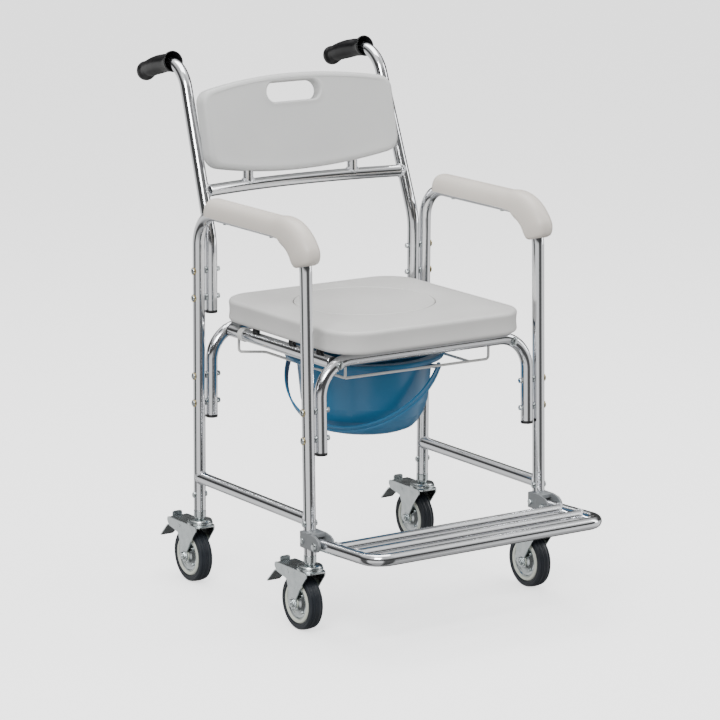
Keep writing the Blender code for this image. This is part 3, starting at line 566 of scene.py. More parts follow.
add_piece("tube_end_caps", both_sides(together(*caps)), black_plastic, "chair_frame")
for word, sign in SIDES:
    rail = placed(pipe([plug_front, plug_rear]), scale=(sign, 1, 1))
    add_tube("seat_side_rail_" + word, rail, ["seat_rail_" + word])
print("caps:", 2 * len(caps))

# %% [markdown]
# ## Bolts
# Through bolts hold the inner tubes to the legs: a domed head on a washer outside, a
# spacer between the tubes and a hexagon nut inside.  One bolt is made along X and copied.

# %% Bolts and nuts
BOLTS = [(front_y(z), z) for z in (0.3440, 0.3938)]
BOLTS += [(rear_y(z), z) for z in (0.3412, 0.3915, 0.5355, 0.5852)]


def hex_nut(across, low, high):
    """A hexagon bar along X, its corners eased at both ends by smaller rings."""
    levels = np.array([low, low + 0.0004, high - 0.0004, high])[:, None]
    size = np.array([0.93, 1, 1, 0.93])[:, None, None]
    ring = size * hexagon(across)
    level = np.broadcast_to(levels, ring.shape[:2])[..., None]
    return grid(np.concatenate([level, ring], -1))


def dome(radius, base, top):
    """A button head: a quarter ellipse from the rim to the crown."""
    angle = np.linspace(0, np.pi / 2, 9)
    arc = np.column_stack([radius * np.cos(angle), base + (top - base) * np.sin(angle)])
    return turned(np.vstack([(0, base), arc]), 28, "x")


shank = turned([(0, 0.2050), (0.0030, 0.2050), (0.0030, 0.2590), (0, 0.2590)], 16, "x")
spacer_outline = profile([(0, 0.2322), (0.0062, 0.2322), (0.0062, 0.2358), (0, 0.2358)], 0.0004)
one_bolt = together(
    shank,
    turned(spacer_outline, 28, "x"),
    dome(0.0055, 0.2595, 0.2625),
    hex_nut(0.0086, 0.2045, 0.2098),
)
washer_outline = profile([(0, 0.2576), (0.0068, 0.2576), (0.0068, 0.2596), (0, 0.2596)], 0.0003)
one_washer = turned(washer_outline, 32, "x")
bolts = both_sides(together(*(placed(one_bolt, (0, y, z)) for y, z in BOLTS)))
washers = both_sides(together(*(placed(one_washer, (0, y, z)) for y, z in BOLTS)))
bolt_nodes = [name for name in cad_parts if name.startswith("bolt_")]
add_piece("frame_bolts", bolts, zinc, "chair_frame", bolt_nodes, 30)
add_piece("frame_washers", washers, brass, "chair_frame", (), 30)
print("frame bolts:", len(bolt_nodes))

# %% [markdown]
# The rails are held by a bolt through each bend of the U tubes.  Rubber bumpers and small
# clips on the rails keep the seat from rattling.  Each caster's insert and each arm pad
# has screws of its own.

# %% Small hardware
seat_bolt_outline = [(0, -0.008), (0.0030, -0.008), (0.0030, 0), (0.0078, 0), (0.0078, 0.0012)]
seat_bolt_outline += [(0.0062, 0.0014), (0.0052, 0.0044), (0, 0.0050)]
seat_bolt = turned(profile(seat_bolt_outline, 0.0009), 28)
insert_outline = [(0, -0.003), (0.0058, -0.003), (0.0058, 0.0008), (0.0050, 0.0032), (0, 0.0040)]
insert_bolt = turned(profile(insert_outline, 0.0008), 24)
pad_screw = turned(profile([(0, 0), (0.0040, 0), (0.0035, 0.0018), (0, 0.0020)], 0.0006), 24)
seat_bolts = []
for y, way in ((front_y(RAIL_Z) - TUBE + 0.0010, -1), (rear_y(RAIL_Z) + TUBE - 0.0010, 1)):
    seat_bolts.append(stood(seat_bolt, (RAIL_X, y, RAIL_Z), (RAIL_X, y + way, RAIL_Z)))
insert_bolts = []
for leg, bolt_z in ((front_y, 0.1965), (rear_y, 0.1690)):
    spot = leg_point(SIDE_X + TUBE - 0.0003, leg, bolt_z)
    insert_bolts.append(stood(insert_bolt, spot, np.add(spot, (1, 0, 0))))
    inner = np.subtract(spot, (2 * TUBE - 0.0006, 0, 0))
    insert_bolts.append(stood(insert_bolt, inner, np.subtract(inner, (1, 0, 0))))
pad_screws = []
for y in (0.064, -0.090):
    pad_screws.append(stood(pad_screw, (SIDE_X, y, ARM_Z - TUBE + 0.0003), (SIDE_X, y, 0)))
small_heads = both_sides(together(*seat_bolts, *insert_bolts, *pad_screws))
add_piece("small_bolt_heads", small_heads, zinc, "chair_frame")
bumper = turned(profile([(0, 0.4805), (0.0075, 0.4805), (0.0062, 0.4896), (0, 0.4896)], 0.0015), 28)
bumpers = both_sides(together(*(placed(bumper, (RAIL_X, y, 0)) for y in (-0.150, -0.060, 0.060))))
add_piece("seat_bumpers", bumpers, black_plastic, "chair_frame")
band_angle = np.linspace(0, 2 * np.pi, 41)[:-1]
band_line = np.column_stack([np.cos(band_angle), 0 * band_angle, np.sin(band_angle)]) * 0.0118
strap = swept(
    band_line + (RAIL_X, 0.100, RAIL_Z),
    [(-0.005, -0.0009), (0.005, -0.0009), (0.005, 0.0009), (-0.005, 0.0009)],
    (0, 1, 0),
    ends="loop",
)
add_piece("rail_clips", both_sides(strap), wire_coat, "chair_frame")
print("small heads:", 2 * (len(seat_bolts) + len(insert_bolts) + len(pad_screws)))

# %% [markdown]
# ## The back
# Two posts rise from inside the rear legs, lean back and end in push handles.  The bowed
# cross tube between them carries the backrest on two short stubs.

# %% Back posts
POST_LINE = rounded(
    [
        leg_point(INNER_X, rear_y, POST_FOOT + CAP),
        (0.2210, 0.1560, 0.6370),
        (0.2107, 0.2704, 0.9544),
        (0.2048, 0.4100, 0.9161),
    ],
    [0.120, 0.060],
    18,
)
for word, sign in SIDES:
    post = placed(pipe(POST_LINE), scale=(sign, 1, 1))
    add_tube("back_post_tube_" + word, post, ["back_post_" + word])

# %% Cross tube and stubs
CROSS_Z, CROSS_HALF, STUB_X = 0.7235, 0.2085, 0.1136


def cross_y(x):
    """The bow: furthest back in the middle, falling off with the square of x."""
    return 0.2090 - 0.0245 * (np.asarray(x) / 0.2066) ** 2


cross_x = np.linspace(-CROSS_HALF, CROSS_HALF, 60)
cross_line = np.column_stack([cross_x, cross_y(cross_x), np.full(60, CROSS_Z)])
stub_y = float(cross_y(STUB_X))
stubs = [pipe([(x, stub_y, CROSS_Z + 0.004), (x, stub_y, 0.764)], 0.0095) for x in (-STUB_X, STUB_X)]
cross_shape = together(pipe(cross_line, guide=(0, 0, 1)), *stubs)
add_tube("cross_tube", cross_shape, ["backrest_cross_tube"])
post_beads = [
    weld((0.2185, 0.1868, CROSS_Z), (-1, -0.06, 0), (0, 0.34, 0.94)),
    weld((STUB_X, stub_y, CROSS_Z), (0, 0, 1), (1, 0, 0), tube=0.0098, onto=0.0112, bead=0.0021),
]
add_beads("cross_tube_welds", both_sides(together(*post_beads)))
print("cross tube bows back by", round(float(cross_y(0) - cross_y(0.2066)), 4), "m")

# %% [markdown]
# ## The push grips
# A soft sleeve pushed over each handle: flared where the tube comes in, a slim neck, a
# slight swell for the palm and a rounded end.  It is one outline turned about its axis,
# arched a little, with finger waves pressed into its underside every 22.5 mm.

# %% Push grips
GRIP_RIM, GRIP_END = (0.2094, 0.3013, 0.9459), (0.2044, 0.4193, 0.9136)
grip_outline = [
    (0.0116, 0.110),
    (0.0116, 0.026),
    (0.0176, 0.0008),
    (0.0184, 0.0000),
    (0.0193, 0.0002),
    (0.0197, 0.0012),
    (0.0196, 0.0046),
    (0.0180, 0.0072),
    (0.0168, 0.0105),
    (0.0166, 0.0180),
    (0.0170, 0.0320),
    (0.0175, 0.0560),
    (0.0174, 0.0760),
    (0.0168, 0.0930),
    (0.0165, 0.1015),
    (0.0171, 0.1055),
    (0.0179, 0.1090),
    (0.0180, 0.1130),
    (0.0172, 0.1170),
    (0.0150, 0.1202),
    (0.0105, 0.1220),
    (0.0, 0.1225),
]
grip_shape = turned(profile([(0, 0.110), *grip_outline], 0.004, 3), 56)
sideways, downwards, along = grip_shape["points"].T
palm = np.maximum(0, np.sin(np.arctan2(downwards, sideways))) ** 2
held = np.clip((along - 0.016) / 0.020, 0, 1) * np.clip((0.104 - along) / 0.012, 0, 1)
arch = 0.0030 * np.sin(np.pi * np.clip(along / 0.122, 0, 1)) * held
waves = 1 + held * (0.085 * np.cos((along - 0.016) * 2 * np.pi / 0.0225) - 0.02) * palm
grip_shape["points"][:, :2] *= waves[:, None]
grip_shape["points"][:, 1] -= arch
for word, sign in SIDES:
    grip = placed(stood(grip_shape, GRIP_RIM, GRIP_END), scale=(sign, 1, 1))
    add_piece(
        "push_grip_" + word,
        grip,
        grip_rubber,
        "chair_frame",
        ["grip_" + word],
        60,
    )
print("grip length:", round(float(np.linalg.norm(np.subtract(GRIP_END, GRIP_RIM))), 4), "m")

# %% [markdown]
# ## The backrest
# A moulded panel, curved round the back and leaning, with soft edges and a hand slot.
# Its surface is a ring of rings: over the front from slot to rim, round the edge, over
# the back and in through the slot.  Outline and slot are matched by their angle.  Both
# faces lie 0.9 mm lower than the rounded rims, which leaves a fine line round them.

# %% Backrest panel
PANEL_POINTS = 288
SLOT_Z, SLOT_HALF, SLOT_R = 0.8825, 0.058, 0.0175


def evenly(ring, count):
    """A closed outline with evenly spaced points."""
    ring = np.vstack([ring, ring[:1]])
    reach = np.append(0, np.cumsum(np.linalg.norm(np.diff(ring, axis=0), axis=1)))
    wanted = np.arange(count) * reach[-1] / count
    return np.column_stack([np.interp(wanted, reach, ring[:, axis]) for axis in (0, 1)])


def inset(ring, by):
    """A closed outline moved inwards along its own normals."""
    ahead = np.roll(ring, -1, axis=0) - np.roll(ring, 1, axis=0)
    normal = unit(np.column_stack([ahead[:, 1], -ahead[:, 0]]))
    inward = np.sign(((ring.mean(axis=0) - ring) * normal).sum())
    return ring + normal * inward * by


def panel_top(x):
    return 0.915 - 0.013 * (x / 0.175) ** 2


def panel_foot(x):
    return 0.742 + 0.015 * (x / 0.165) ** 2


def panel_outline():
    """(x, z): arched above and below, with upright sides and rounded corners."""
    x = np.linspace(-0.170, 0.170, 41)
    side = 0.207
    corners = [(across, panel_top(across), 0) for across in (x[-1], side)]
    corners += [(across, panel_foot(across), 0) for across in (side, x[-1])]
    right = rounded(corners, [0.024, 0.029])[:, :2]
    upper = np.column_stack([x, panel_top(x)])[:-1]
    lower = np.column_stack([x, panel_foot(x)])[::-1][:-1]
    left = (right * (-1, 1))[::-1][:-1]
    return evenly(np.vstack([upper, right[:-1], lower, left]), PANEL_POINTS)


def slot_ring(outline, grow):
    """The slot's rim seen in the direction of each outline point from its middle."""
    away = outline - (0, SLOT_Z)
    angle = np.arctan2(away[:, 1], away[:, 0])
    radius, half = SLOT_R + grow, SLOT_HALF - SLOT_R
    cosine, sine = np.abs(np.cos(angle)), np.abs(np.sin(angle))
    flat = radius / np.maximum(sine, 1e-9)
    bow = half * cosine + np.sqrt(np.maximum(radius**2 - (half * sine) ** 2, 0))
    reach = np.where(flat * cosine <= half, flat, bow)
    return np.column_stack([reach * np.cos(angle), SLOT_Z + reach * np.sin(angle)])


def on_panel(ring, depth):
    """Puts (x, z) on y = .226 + .24 (z - .83) - .021 (x / .2)^2, then off it by a depth."""
    x, z = ring.T
    y = 0.226 + 0.24 * (z - 0.83) - 0.021 * (x / 0.2) ** 2
    normal = unit(np.column_stack([1.05 * x, np.ones_like(x), np.full_like(x, -0.24)]))
    return np.column_stack([x, y, z]) + normal * depth


STEP = 0.0009


def panel_shape(half=0.015, ease=0.0095, lip=0.0055):
    outline = panel_outline()
    face = inset(outline, ease)
    rim = slot_ring(outline, lip)
    rings = []
    for share in np.linspace(0, 0.94, 14):
        rings.append(on_panel(rim + (face - rim) * share, STEP - half))
    for angle in np.linspace(-np.pi / 2, np.pi / 2, 17):
        edge = inset(outline, ease * (1 - np.cos(angle)))
        depth = (half - ease) * np.sign(np.sin(angle)) + ease * np.sin(angle)
        rings.append(on_panel(edge, depth))
    for share in np.linspace(0.94, 0, 14):
        rings.append(on_panel(rim + (face - rim) * share, half - STEP))
    for angle in np.linspace(np.pi / 2, -np.pi / 2, 13)[1:-1]:
        edge = slot_ring(outline, lip * (1 - np.cos(angle)))
        rings.append(on_panel(edge, (half - lip) * np.sign(np.sin(angle)) + lip * np.sin(angle)))
    return grid(rings, "loop")


panel = add_piece(
    "backrest",
    panel_shape(),
    panel_plastic,
    "chair_frame",
    ["backrest_panel"],
    60,
)
print("backrest faces:", len(panel.data.polygons))

# %% [markdown]
# ## The arm pads
# Soft foam moulded over the arm tube.  On the arm the pad is a saddle that leaves the
# tube's underside bare; towards the front bend it closes round the tube and swells into
# a nose.  So one C-shaped section is swept along, and its opening closes as it goes.

# %% Arm pads
BEND_CENTRE = np.array((front_y(ARM_Z) + ARM_BEND, ARM_Z - ARM_BEND))
PAD_REAR, NOSE_DEG, BEND_STEPS = 0.108, 76.0, 44
PAD_LEAST = 0.0125
PAD_DEGREES = [-12, 0, 23, 42, 60, 90]
PAD_HEIGHTS = [0.0312, 0.0335, 0.036, 0.0384, 0.0405, 0.0405]


def pad_line(count=56):
    """Points along the arm, then round the bend, and how far round each one is.

    On the arm that angle goes on below 0, by 6 degrees for every 10 mm behind the bend.
    """
    ease = np.linspace(0, 1, count)
    share = ease - 0.10 * np.sin(2 * np.pi * ease) / 6
    arm_y = PAD_REAR + (BEND_CENTRE[0] - PAD_REAR) * share
    arm = np.column_stack([arm_y, np.full(count, ARM_Z)])
    angle = np.radians(np.linspace(0, NOSE_DEG, BEND_STEPS + 1)[1:])
    bend = BEND_CENTRE + ARM_BEND * np.column_stack([-np.sin(angle), np.cos(angle)])
    flat = np.vstack([[(PAD_REAR, ARM_Z), (0.1072, ARM_Z), (0.1055, ARM_Z)], arm[1:], bend])
    on_arm = (BEND_CENTRE[0] - flat[:-BEND_STEPS, 0]) * 600
    degrees = np.concatenate([on_arm, np.degrees(angle)])
    return np.column_stack([np.full(len(flat), SIDE_X), flat]), degrees


def pad_shape():
    line, degrees = pad_line()
    from_end = np.clip((PAD_REAR - line[:, 1]) / 0.016, 0, 1)
    from_nose = np.clip((NOSE_DEG - degrees) / 17.0, 0, 1)
    round_end = np.sqrt(1 - (1 - from_end) ** 2)
    round_nose = np.sqrt(1 - (1 - from_nose) ** 2)
    round_both = np.minimum(0.45 + 0.55 * round_end, 0.30 + 0.70 * round_nose)
    foam = np.interp(degrees, PAD_DEGREES, PAD_HEIGHTS)
    height = PAD_LEAST + (foam - PAD_LEAST) * round_both
    width = 0.0230 * np.minimum(0.70 + 0.30 * round_end, 0.66 + 0.34 * round_nose)
    depth = PAD_LEAST + 0.0050 * round_nose
    wrap = np.radians(np.interp(degrees, [-10, 6, 24, 36], [90.5, 96, 140, 178.5]))
    turn = np.linspace(-1, 1, 65) * wrap[:, None]
    power = 2 / 2.5
    sine, cosine = np.sin(turn), np.cos(turn)
    wide = width[:, None] * np.sign(sine) * np.abs(sine) ** power
    reach = np.where(cosine > 0, height[:, None], depth[:, None])
    high = reach * np.sign(cosine) * np.abs(cosine) ** power
    near = 0.0112 * np.stack([sine, cosine], -1)[:, ::-1]
    section = np.concatenate([np.stack([wide, high], -1), near], 1)
    return swept(line, section, (1, 0, 0))


for word, sign in SIDES:
    pad = add_piece(
        "arm_pad_" + word,
        placed(pad_shape(), scale=(sign, 1, 1)),
        pad_foam,
        "chair_frame",
        ["armrest_pad_" + word],
        50,
    )
print("arm pad faces:", len(pad.data.polygons))

# %% [markdown]
# ## The seat
# A foam cushion with soft edges and a round hole, closed by a padded lid that lifts
# straight out.  The cushion is rings from the hole out over the top, down the side and
# back underneath; the top swells a little between the hole and the edge.

# %% Seat cushion and lid
SEAT_X, SEAT_FRONT, SEAT_REAR = 0.200, -0.247, 0.178
SEAT_LOW, SEAT_HIGH, LID_Y, LID_R = 0.490, 0.531, -0.010, 0.1276
LEDGE_Z, LEDGE_R, HOLE_R, HOLE_EASE, LID_EASE = 0.4995, 0.112, 0.1290, 0.0024, 0.0026
CROWN, WAIST = 0.0012, 0.0011


def seat_outline(count=256):
    middle = (SEAT_FRONT + SEAT_REAR) / 2
    corners = [(SEAT_X, middle), (SEAT_X, SEAT_REAR), (-SEAT_X, SEAT_REAR)]
    corners += [(-SEAT_X, SEAT_FRONT), (SEAT_X, SEAT_FRONT), (SEAT_X, middle)]
    line = rounded([(*corner, 0) for corner in corners], [0.065] * 4)
    return evenly(line[:-1, :2], count)


def cushion_shape(top_ease=0.0070, low_ease=0.0070):
    """Rings at (inset, height): up the hole, over the top, down the side and in below.

    The top swells by CROWN and the side draws in by WAIST, each times sin(pi share).
    """
    outline = seat_outline()
    away = unit(outline - (0, LID_Y))

    def level(ring, z):
        return np.column_stack([ring, np.full(len(ring), z)])

    def hole(radius):
        return away * radius + (0, LID_Y)

    rings = [
        level(hole(LEDGE_R), SEAT_LOW),
        level(hole(LEDGE_R), LEDGE_Z - 0.0001),
        level(hole(HOLE_R), LEDGE_Z + 0.0001),
    ]
    for angle in np.linspace(0, np.pi / 2, 7):
        radius = HOLE_R + HOLE_EASE * (1 - np.cos(angle))
        rings.append(level(hole(radius), SEAT_HIGH - HOLE_EASE * (1 - np.sin(angle))))
    start = hole(HOLE_R + HOLE_EASE)
    stop = inset(outline, top_ease)
    for share in np.linspace(0.06, 0.96, 16):
        crown = CROWN * np.sin(np.pi * share)
        rings.append(level(start + (stop - start) * share, SEAT_HIGH + crown))
    for angle in np.linspace(0, np.pi / 2, 11):
        drop = top_ease * (1 - np.cos(angle))
        rings.append(level(inset(outline, top_ease * (1 - np.sin(angle))), SEAT_HIGH - drop))
    for share in np.linspace(0.1, 0.9, 7):
        waist = WAIST * np.sin(np.pi * share)
        drop = (SEAT_HIGH - top_ease) + (SEAT_LOW + low_ease - SEAT_HIGH + top_ease) * share
        rings.append(level(inset(outline, waist), drop))
    for angle in np.linspace(0, np.pi / 2, 9):
        edge = inset(outline, low_ease * (1 - np.cos(angle)))
        rings.append(level(edge, SEAT_LOW + low_ease * (1 - np.sin(angle))))
    return grid(rings, "loop")


cushion = add_piece(
    "seat_cushion_skin",
    cushion_shape(),
    seat_skin,
    "chair_frame",
    ["seat_cushion"],
    60,
)
lid_outline = [(0, 0.5002), (LID_R - 0.0010, 0.5002), (LID_R, 0.5030), (LID_R, SEAT_HIGH - LID_EASE)]
lid_angle = np.linspace(0.2, np.pi / 2, 7)
lid_rim_r = LID_R - LID_EASE * (1 - np.cos(lid_angle))
lid_rim_z = SEAT_HIGH - LID_EASE * (1 - np.sin(lid_angle))
lid_rim = np.column_stack([lid_rim_r, lid_rim_z])
lid_crown = SEAT_HIGH + CROWN * np.linspace(0, 1, 14) ** 0.7
lid_top = np.column_stack([np.linspace(0.118, 0, 14), lid_crown])
lid_shape = placed(turned(np.vstack([lid_outline, lid_rim, lid_top]), 128), (0, LID_Y, 0))
lid = add_piece("seat_lid_pad", lid_shape, seat_skin, "seat_lid", ["seat_lid"], 60)
print("seat:", 2 * SEAT_X, "by", round(SEAT_REAR - SEAT_FRONT, 3), "m")

# %% [markdown]
# ## The bucket and its hanger
# White wire hangs inside the seat frame: two runners take the bucket's rim, so it can be
# drawn out at the back.  The bucket is turned from one outline, with a rolled rim.  Its
# handle is a flat strip with two ridges, bent to half an ellipse about the hinge line.

# %% Hanger wire
WIRE_R, WIRE_Z, RUNNER_X = 0.0025, 0.429, 0.131
corner_left, corner_right = (-RUNNER_X, -0.147), (0.172, -0.155)
crossing = corner_left[1] + (corner_right[1] - corner_left[1]) * 2 * RUNNER_X / 0.303
flare = np.array([(RUNNER_X, 0.118, WIRE_Z), (0.1705, 0.145, WIRE_Z), (0.1705, 0.145, 0.470)])
left_wire = [(*corner_left, 0.4885), (*corner_left, WIRE_Z), *(flare * (-1, 1, 1))]
right_wire = [(RUNNER_X, crossing, WIRE_Z), *flare]
front_wire = [(*corner_left, WIRE_Z), (*corner_right, WIRE_Z), (*corner_right, 0.470)]
SKEW = (0.60, 0.50, 0.62)
hanger = together(
    pipe(rounded(left_wire, [0.006, 0.015, 0.006], 10), WIRE_R, SKEW, 20, 0.0003),
    pipe(rounded(right_wire, [0.015, 0.006], 10), WIRE_R, SKEW, 20, 0.0003),
    pipe(rounded(front_wire, [0.006], 10), WIRE_R, SKEW, 20, 0.0003),
)
add_piece("bucket_hanger_wire", hanger, wire_coat, "chair_frame", ["bucket_hanger"])
print("wire thickness:", 2 * WIRE_R)

# %% Bucket
HINGE_Z, HINGE_DEG, TILT_DEG = 0.422, -57.0, 49.0
bucket_wall = [
    (0.0, 0.3000),
    (0.0600, 0.3000),
    (0.0630, 0.2998),
    (0.0780, 0.3004),
    (0.0900, 0.3052),
    (0.0990, 0.3150),
    (0.1080, 0.3300),
    (0.1155, 0.3530),
    (0.1232, 0.4285),
    (0.1240, 0.4318),
    (0.1432, 0.4316),
    (0.1440, 0.4330),
    (0.1439, 0.4370),
    (0.1425, 0.4395),
    (0.1395, 0.4402),
    (0.1300, 0.4396),
    (0.1235, 0.4398),
    (0.1215, 0.4370),
    (0.1135, 0.3530),
    (0.1062, 0.3310),
    (0.0975, 0.3170),
    (0.0885, 0.3072),
    (0.0770, 0.3024),
    (0.0, 0.3022),
]
bucket_shape = placed(turned(profile(bucket_wall, 0.008, 4), 144), (0, LID_Y, 0))
hinge_turn, hinge_tilt = np.radians(HINGE_DEG), np.radians(TILT_DEG)
hinge = np.array((np.cos(hinge_turn), np.sin(hinge_turn), 0))
forward = np.array((np.sin(hinge_turn), -np.cos(hinge_turn), 0))
hinge_middle = np.array((0, LID_Y, HINGE_Z))
drop = np.sin(hinge_tilt) * forward - np.cos(hinge_tilt) * np.array((0, 0, 1.0))
pin_outline = [(0, 0.1212), (0.0060, 0.1212), (0.0060, 0.1262), (0.0040, 0.1266)]
pin = turned(profile([*pin_outline, (0.0040, 0.1490), (0, 0.1490)], 0.0008), 24)
pins = [stood(pin, hinge_middle, hinge_middle + way * hinge) for way in (1, -1)]
add_piece(
    "bucket_shell",
    together(bucket_shape, *pins),
    bucket_plastic,
    "bucket",
    ["bucket"],
    40,
)

# %% Bucket handle
HALF_SPAN, REACH = 0.145, 0.158
ridge = [(0.0070, 0.0014), (0.0064, 0.0021), (0.0030, 0.0021), (0.0022, 0.0012), (0.0010, 0.0006)]
strip = [(-0.0066, -0.0015), (0.0066, -0.0015), (0.0070, -0.0011), *ridge]
strip += [(-x, y) for x, y in ridge[::-1]] + [(-0.0070, -0.0011)]
swing = np.linspace(0, np.pi, 120)[:, None]
handle_line = hinge_middle + hinge * HALF_SPAN * np.cos(swing) + drop * REACH * np.sin(swing)
breadth = 1 + 0.22 * np.sin(swing) ** 0.5
strips = np.array(strip) * np.stack([breadth, np.ones_like(breadth)], -1)
handle_strip = swept(handle_line, strips, np.cross(hinge, drop))
eye_ring = profile([(0.0048, -0.0017), (0.0078, -0.0017), (0.0078, 0.0017), (0.0048, 0.0017)], 0.0005)
eye = turned(np.vstack([eye_ring, eye_ring[:1] + (0, 0.0001)]), 32, "z", "loop")
eyes = [
    stood(eye, hinge_middle + way * HALF_SPAN * hinge, hinge_middle + way * hinge)
    for way in (1, -1)
]
add_piece(
    "bucket_carry_handle",
    together(handle_strip, *eyes),
    bucket_plastic,
    "bucket_handle",
    ["bucket_handle"],
    40,
)
print("bucket handle spans", 2 * HALF_SPAN, "m")

# %% [markdown]
# ## The footrest
# A tube bent to a U with two cross tubes, hinged on cast brackets that clamp the front
# legs.  A web over each arm stops it level, and it folds up in front of the legs.

# %% Footrest
PIVOT = (-0.2483, 0.1645)
FOOT_X, FOOT_FRONT = 0.2435, (-0.409, 0.1720)


def foot_z(y):
    return PIVOT[1] + (y - PIVOT[0]) * (FOOT_FRONT[1] - PIVOT[1]) / (FOOT_FRONT[0] - PIVOT[0])


foot_rear = PIVOT[0] + 0.0118
foot_corners = [
    (-FOOT_X, foot_rear, foot_z(foot_rear)),
    (-FOOT_X, *FOOT_FRONT),
    (FOOT_X, *FOOT_FRONT),
    (FOOT_X, foot_rear, foot_z(foot_rear)),
]
foot_parts = [pipe(rounded(foot_corners, [0.035, 0.035], 16), guide=(0, 0.05, 1))]
foot_beads = []
for y in (-0.286, -0.347):
    foot_parts.append(pipe([(-FOOT_X, y, foot_z(y)), (FOOT_X, y, foot_z(y))], 0.0109, (0, 0, 1)))
    foot_beads.append(weld((FOOT_X, y, foot_z(y)), (-1, 0, 0), (0, 1, 0), bead=0.0022, ripples=22))
add_tube("footrest_tubes", together(*foot_parts), ["footrest_frame"], "footrest")
add_beads("footrest_welds", both_sides(together(*foot_beads)), "footrest")

# %% Footrest brackets
CLAMP_Y = front_y(0.168)


def eased(outline, radius, steps=6):
    """A closed outline with each corner rounded, starting halfway along one side."""
    outline = np.asarray(outline, float)
    start = (outline[-1] + outline[0]) / 2
    line = np.vstack([start, outline, start])
    runs = np.linalg.norm(np.diff(line, axis=0), axis=1)
    ahead, behind = unit(np.diff(line, axis=0))[1:], unit(np.diff(line, axis=0))[:-1]
    half_turn = np.arccos(np.clip((ahead * behind).sum(1), -1, 1)) / 2
    room = 0.45 * np.minimum(runs[:-1], runs[1:]) / np.maximum(np.tan(half_turn), 1e-3)
    flat = np.column_stack([line, np.zeros(len(line))])
    return rounded(flat, np.minimum(radius, room), steps)[:-1, :2]


ear = [(-0.0135, 0.155), (-0.0135, 0.184), (-0.026, 0.184), (-0.042, 0.1812)]
ear += [(-0.0495, 0.1765), (-0.0530, 0.1690), (-0.0515, 0.1615), (-0.0460, 0.1565), (-0.0380, 0.155)]
block = [(0.009, 0.155), (0.009, 0.184), (-0.0255, 0.184)]
block += [(-0.0255, 0.1765), (-0.0137, 0.1745), (-0.0137, 0.155)]
bracket = together(
    slab(np.add(eased(ear, 0.006), (CLAMP_Y, 0)), "x", 0.2290, 0.2320),
    slab(np.add(eased(ear, 0.006), (CLAMP_Y, 0)), "x", 0.2576, 0.2625),
    slab(np.add(eased(block, 0.0015), (CLAMP_Y, 0)), "x", 0.2291, 0.2624),
)
nut_side = placed(hex_nut(0.0110, 0.2243, 0.2288), (0, *PIVOT))
head_side = stood(
    turned(profile([(0, 0), (0.0078, 0), (0.0074, 0.0016), (0.0050, 0.0034), (0, 0.0037)], 0.0014), 36),
    (0.2627, *PIVOT),
    (1.0, *PIVOT),
)
pivot_pin = pipe([(0.2250, *PIVOT), (0.2640, *PIVOT)], 0.0030, (0, 0, 1), 20)
clamp_bolt = together(
    stood(
        turned(profile([(0, 0), (0.0056, 0), (0.0050, 0.0024), (0, 0.0030)], 0.0010), 28),
        (0.2624, CLAMP_Y, 0.1675),
        (1.0, CLAMP_Y, 0.1675),
    ),
    placed(hex_nut(0.0090, 0.2250, 0.2292), (0, CLAMP_Y, 0.1675)),
)
for word, sign in SIDES:
    flip = (sign, 1, 1)
    add_piece(
        "footrest_cast_bracket_" + word,
        placed(bracket, scale=flip),
        cast_grey,
        "chair_frame",
        ["footrest_bracket_" + word],
        bevel=0.0008,
    )
    add_piece(
        "footrest_hinge_bolt_" + word,
        placed(together(nut_side, head_side, pivot_pin, clamp_bolt), scale=flip),
        zinc,
        "chair_frame",
        ["footrest_pivot_bolt_" + word],
    )
print("footrest hinge at y", PIVOT[0], "z", PIVOT[1])

# %% [markdown]
# ## The casters
# Four alike.  A stem plugs into the leg, and a pressed fork turns under it on a ball
# race.  The wheel is a cream ring between two dished plates, each with four small bolts,
# under a rubber tyre.  A pedal behind the fork works the brake.  Each part is made once
# and set at four places.

# %% Caster stem and fork
AXLE, BRAKE = (0.025, 0.050), (0.040, 0.104)
stem_outline = [(0, 0.1050), (0.0060, 0.1052), (0.0065, 0.1075), (0.0040, 0.1077), (0.0040, 0.1185)]
stem_outline += [(0.0218, 0.1185), (0.0225, 0.1200), (0.0212, 0.1222), (0.0120, 0.1232)]
stem_outline += [(0.0085, 0.1240), (0.0080, 0.1268), (0.0112, 0.1272), (0.0112, 0.1396)]
stem_outline += [(0.0088, 0.1398), (0.0088, 0.1700), (0, 0.1720)]
stem = turned(profile(stem_outline, 0.0009), 48)
race_outline = [(0.0050, 0.1165), (0.0216, 0.1165), (0.0216, 0.1189), (0.0050, 0.1189)]
race = turned(profile(race_outline, 0.0004)[:-1], 40, "z", "loop")
cup_outline = [(0.0047, 0.1122), (0.0180, 0.1122), (0.0228, 0.1128), (0.0236, 0.1150)]
cup_outline += [(0.0232, 0.1180), (0.0214, 0.1182), (0.0200, 0.1168), (0.0047, 0.1165)]
cup = turned(profile(cup_outline, 0.0009), 48, "z", "loop")
plate_outline = [(0.0202, 0.0780), (-0.0202, 0.0780), (-0.0202, -0.0180)]
plate_outline += [(-0.0150, -0.0240), (0.0150, -0.0240), (0.0202, -0.0180)]
plate = slab(eased(plate_outline, 0.006), "z", 0.1101, 0.1130)
boss_angle = np.radians(np.linspace(140, 350, 22))
boss = np.column_stack([AXLE[0] + 0.011 * np.cos(boss_angle), AXLE[1] + 0.011 * np.sin(boss_angle)])
cheek_outline = [(-0.0180, 0.1125), (-0.0180, 0.1040), (-0.0080, 0.0920), (0.0030, 0.0780), *boss]
cheek_outline += [(0.0400, 0.0580), (0.0400, 0.0750), (0.0460, 0.0900)]
cheek_outline += [(0.0770, 0.0960), (0.0850, 0.1050), (0.0830, 0.1125)]
cheek = slab(eased(cheek_outline, 0.006), "x", 0.0181, 0.0205)
